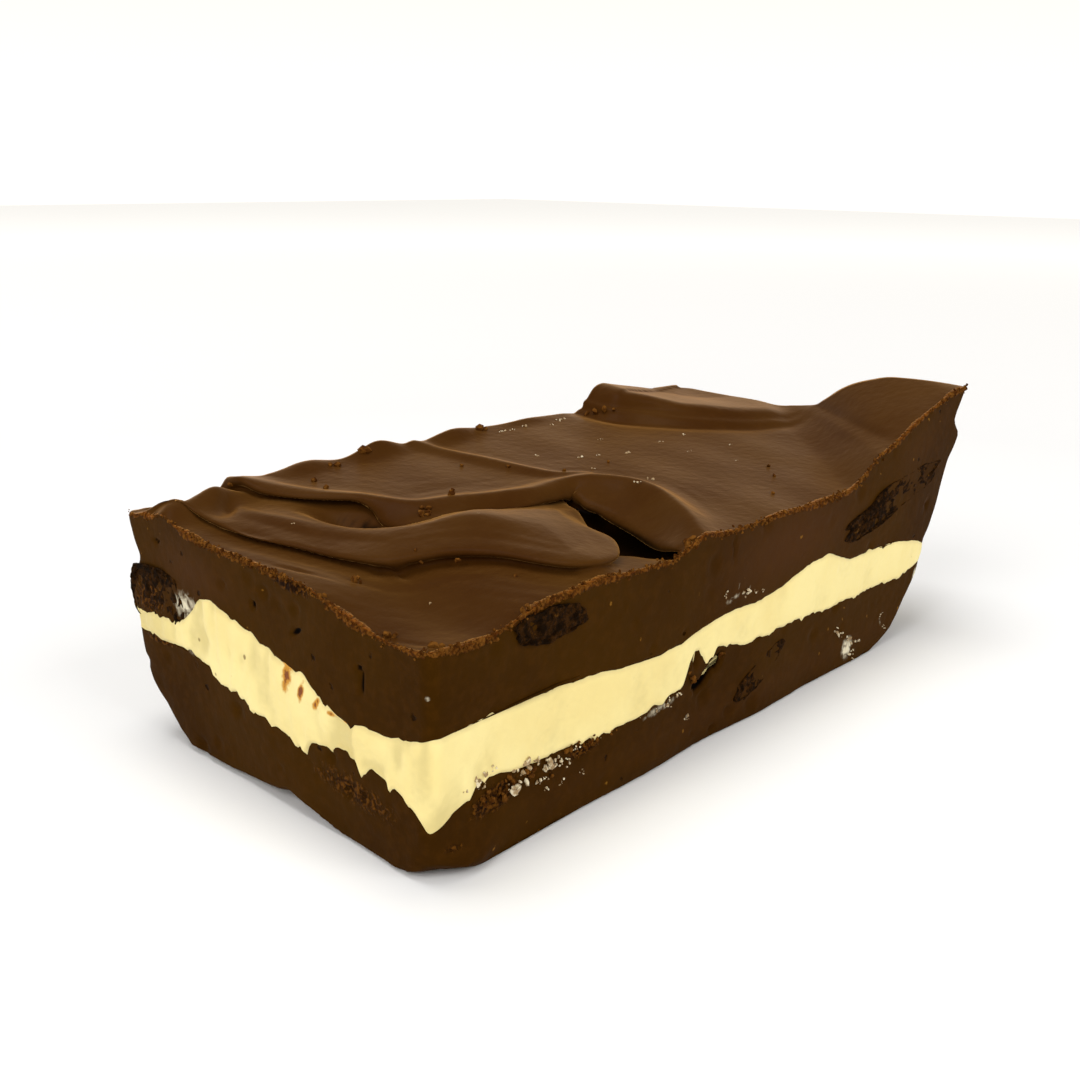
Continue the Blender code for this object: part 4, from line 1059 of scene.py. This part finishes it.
def dry_crumb():
    """Dry crumbs of fudge: matt, rusty brown to ochre."""
    made, tree, shader, _, (patches,) = new_material("dry crumb", [(0.8, 3)], Roughness=0.9,
                                                     Specular_IOR_Level=0.05)
    colour = coated(tree, "#3f2004", [(past(tree, [patches], 0.36, 0.66), "#6e4516")])
    finish(tree, shader, colour, [(1, patches)], 0.15, 0.8)
    return made


def torn_cream():
    """Scraps of cream, smeared with fudge: dull, between greyish fawn and pale ivory."""
    made, tree, shader, _, (fine,) = new_material("torn cream", [(0.7, 3)], Roughness=0.6,
                                                  Specular_IOR_Level=0.1)
    tree.links.new(coated(tree, "#a08763", [(past(tree, [fine], 0.42, 0.62), "#e6d9b8")]),
                   shader.inputs["Base Color"])
    return made


DRY_CRUMB = dry_crumb()
TORN_CREAM = torn_cream()

draw = np.random.default_rng(CRUMB_DRAW)
along_rim = draw.random(RIM_CRUMBS)
at_near_side = np.arange(RIM_CRUMBS) < RIM_CRUMBS * RIM_NEAR_SHARE
rim_share = np.stack([along_rim * at_near_side, along_rim * ~at_near_side], axis=-1)
rim = sheet_over(rim_share, top_surface)[:, 2:]
clumps = smooth(0.5 + 1.1 * grain(rim, 6.0, 81))
kept = draw.random(RIM_CRUMBS) < 0.3 + 0.7 * clumps
jitter = draw.normal(0, 1, (RIM_CRUMBS, 3)) * RIM_SPREAD + RIM_MIDDLE
rim_sizes = 0.09 + 0.20 * draw.random(RIM_CRUMBS) ** 2 * (0.4 + clumps)
scatter("rim_crumbs", (rim + jitter)[kept], rim_sizes[kept], 0.3, DRY_CRUMB, "fudge")

x, y, sizes = np.array(TOP_CRUMBS).T
scatter("top_crumbs", on_top(x, y) + (0, 0, 0.1), sizes, 0.5, DRY_CRUMB, "fudge")
x, y, sizes = np.array(WHITE_SPECKS).T
places, sizes = broken_up(on_top(x, y), sizes, 5, (1.1, 0.7, 0.05), draw)
scatter("cream_specks", places, sizes * 0.8, 0.3, TORN_CREAM, "cream")
for name, bits, count, spread, material, slot in (
        ("cream_bits", CREAM_BITS, 5, (1.0, 0.3, 0.8), TORN_CREAM, "cream"),
        ("red_crumbs", RED_CRUMBS, 7, (1.2, 0.25, 0.9), DRY_CRUMB, "fudge")):
    x, z, sizes = np.array(bits).T
    places = np.stack([x, np.full_like(x, NEAR_SIDE - BITS_STAND), z], axis=-1)
    scatter(name, *broken_up(places, sizes, count, spread, draw), 0.5, material, slot)


# The floor, the light and the camera. A white sweep under broad soft lights. The camera is close and low,
# off the near left corner, where it sees both cut sides and the spread top.

FLOOR_HALF = 2.0
FLOOR_DEPTH = 0.0002
CAMERA_AZIMUTH = -47.0243
CAMERA_ELEVATION = 16.936
CAMERA_ROLL = 0.6806
CAMERA_PLACE = (-127.577, -108.017, 69.816)
CAMERA_FOCAL_PIXELS = 1220.7
PHOTO_WIDTH = 1080
SENSOR_WIDTH = 36

# The sweep glows, more the further it lies from the block: painted light, so that it runs into the white
# wall without a dark band.
GLOW_FROM = 0.2
GLOW_TO = 1.1
SWEEP_GLOW = 0.62
made = bmesh.new()
bmesh.ops.create_grid(made, x_segments=1, y_segments=1, size=FLOOR_HALF,
                      matrix=Matrix.Translation((0, 0, -FLOOR_DEPTH)))
floor_mesh, _ = as_mesh("floor", made)
floor = bpy.data.objects.new("floor", floor_mesh)
bpy.context.scene.collection.objects.link(floor)
sweep, tree, shader, place, _ = new_material(
    "white sweep", Roughness=0.9, Specular_IOR_Level=0.0, Base_Color=linear("#f6f6f6"),
    Emission_Color=linear("#fffdf8"))
away = node(tree, "ShaderNodeVectorMath", {0: place}, operation="LENGTH").outputs["Value"]
far_glow = node(tree, "ShaderNodeMapRange", {"Value": away, "From Min": GLOW_FROM, "From Max": GLOW_TO,
                                             "To Min": 0.0, "To Max": SWEEP_GLOW})
tree.links.new(far_glow.outputs[0], shader.inputs["Emission Strength"])
floor_mesh.materials.append(sweep)

# The studio is bright low down, where its white walls are, and dimmer overhead.
WALL_GLOW = 1.15
CEILING_GLOW = 0.25
WALL_TOP = 0.55
world = bpy.data.worlds.new("studio")
bpy.context.scene.world = world
world.use_nodes = True
room = world.node_tree
sky = node(room, "ShaderNodeSeparateXYZ", {0: node(room, "ShaderNodeTexCoord").outputs["Generated"]})
glow = node(room, "ShaderNodeMapRange", {"Value": sky.outputs[2], "From Min": 0.02, "From Max": WALL_TOP,
                                         "To Min": WALL_GLOW, "To Max": CEILING_GLOW},
            interpolation_type="SMOOTHSTEP")
room.nodes["Background"].inputs["Color"].default_value = linear("#fffaf2")
room.links.new(glow.outputs[0], room.nodes["Background"].inputs["Strength"])


# Soft square lights, turned to the block's middle: (name, place, side in metres, watts).
for name, place, size, power in (("left light", (-0.75, -0.10, 0.62), 0.5, 3.3),
                                 ("front light", (0.10, -0.80, 0.62), 0.5, 3.3),
                                 ("top light", (-0.05, 0.2, 1.0), 0.6, 5.6)):
    lamp = bpy.data.lights.new(name, "AREA")
    lamp.size = size
    lamp.energy = power
    light = bpy.data.objects.new(name, lamp)
    bpy.context.scene.collection.objects.link(light)
    light.location = place
    light.rotation_euler = (Vector((0, 0, 0.02)) - Vector(place)).to_track_quat("-Z", "Y").to_euler()

azimuth, elevation, roll = (math.radians(turn) for turn in (CAMERA_AZIMUTH, CAMERA_ELEVATION, CAMERA_ROLL))
backwards = Vector((math.sin(azimuth) * math.cos(elevation), -math.cos(azimuth) * math.cos(elevation),
                    math.sin(elevation)))
sideways = Vector((math.cos(azimuth), math.sin(azimuth), 0))
upright = backwards.cross(sideways)
turned = Matrix((sideways * math.cos(roll) + upright * math.sin(roll),
                 upright * math.cos(roll) - sideways * math.sin(roll), backwards)).transposed()
camera = bpy.data.objects.new("camera", bpy.data.cameras.new("camera"))
bpy.context.scene.collection.objects.link(camera)
place = (Vector(CAMERA_PLACE) - Vector((*BOX_MIDDLE, 0))) * MM
camera.matrix_world = Matrix.Translation(place) @ turned.to_4x4()
camera.data.sensor_width = SENSOR_WIDTH
camera.data.lens = SENSOR_WIDTH * CAMERA_FOCAL_PIXELS / PHOTO_WIDTH
camera.data.clip_start = 0.001
bpy.context.scene.camera = camera
bpy.context.scene.view_settings.view_transform = "Standard"
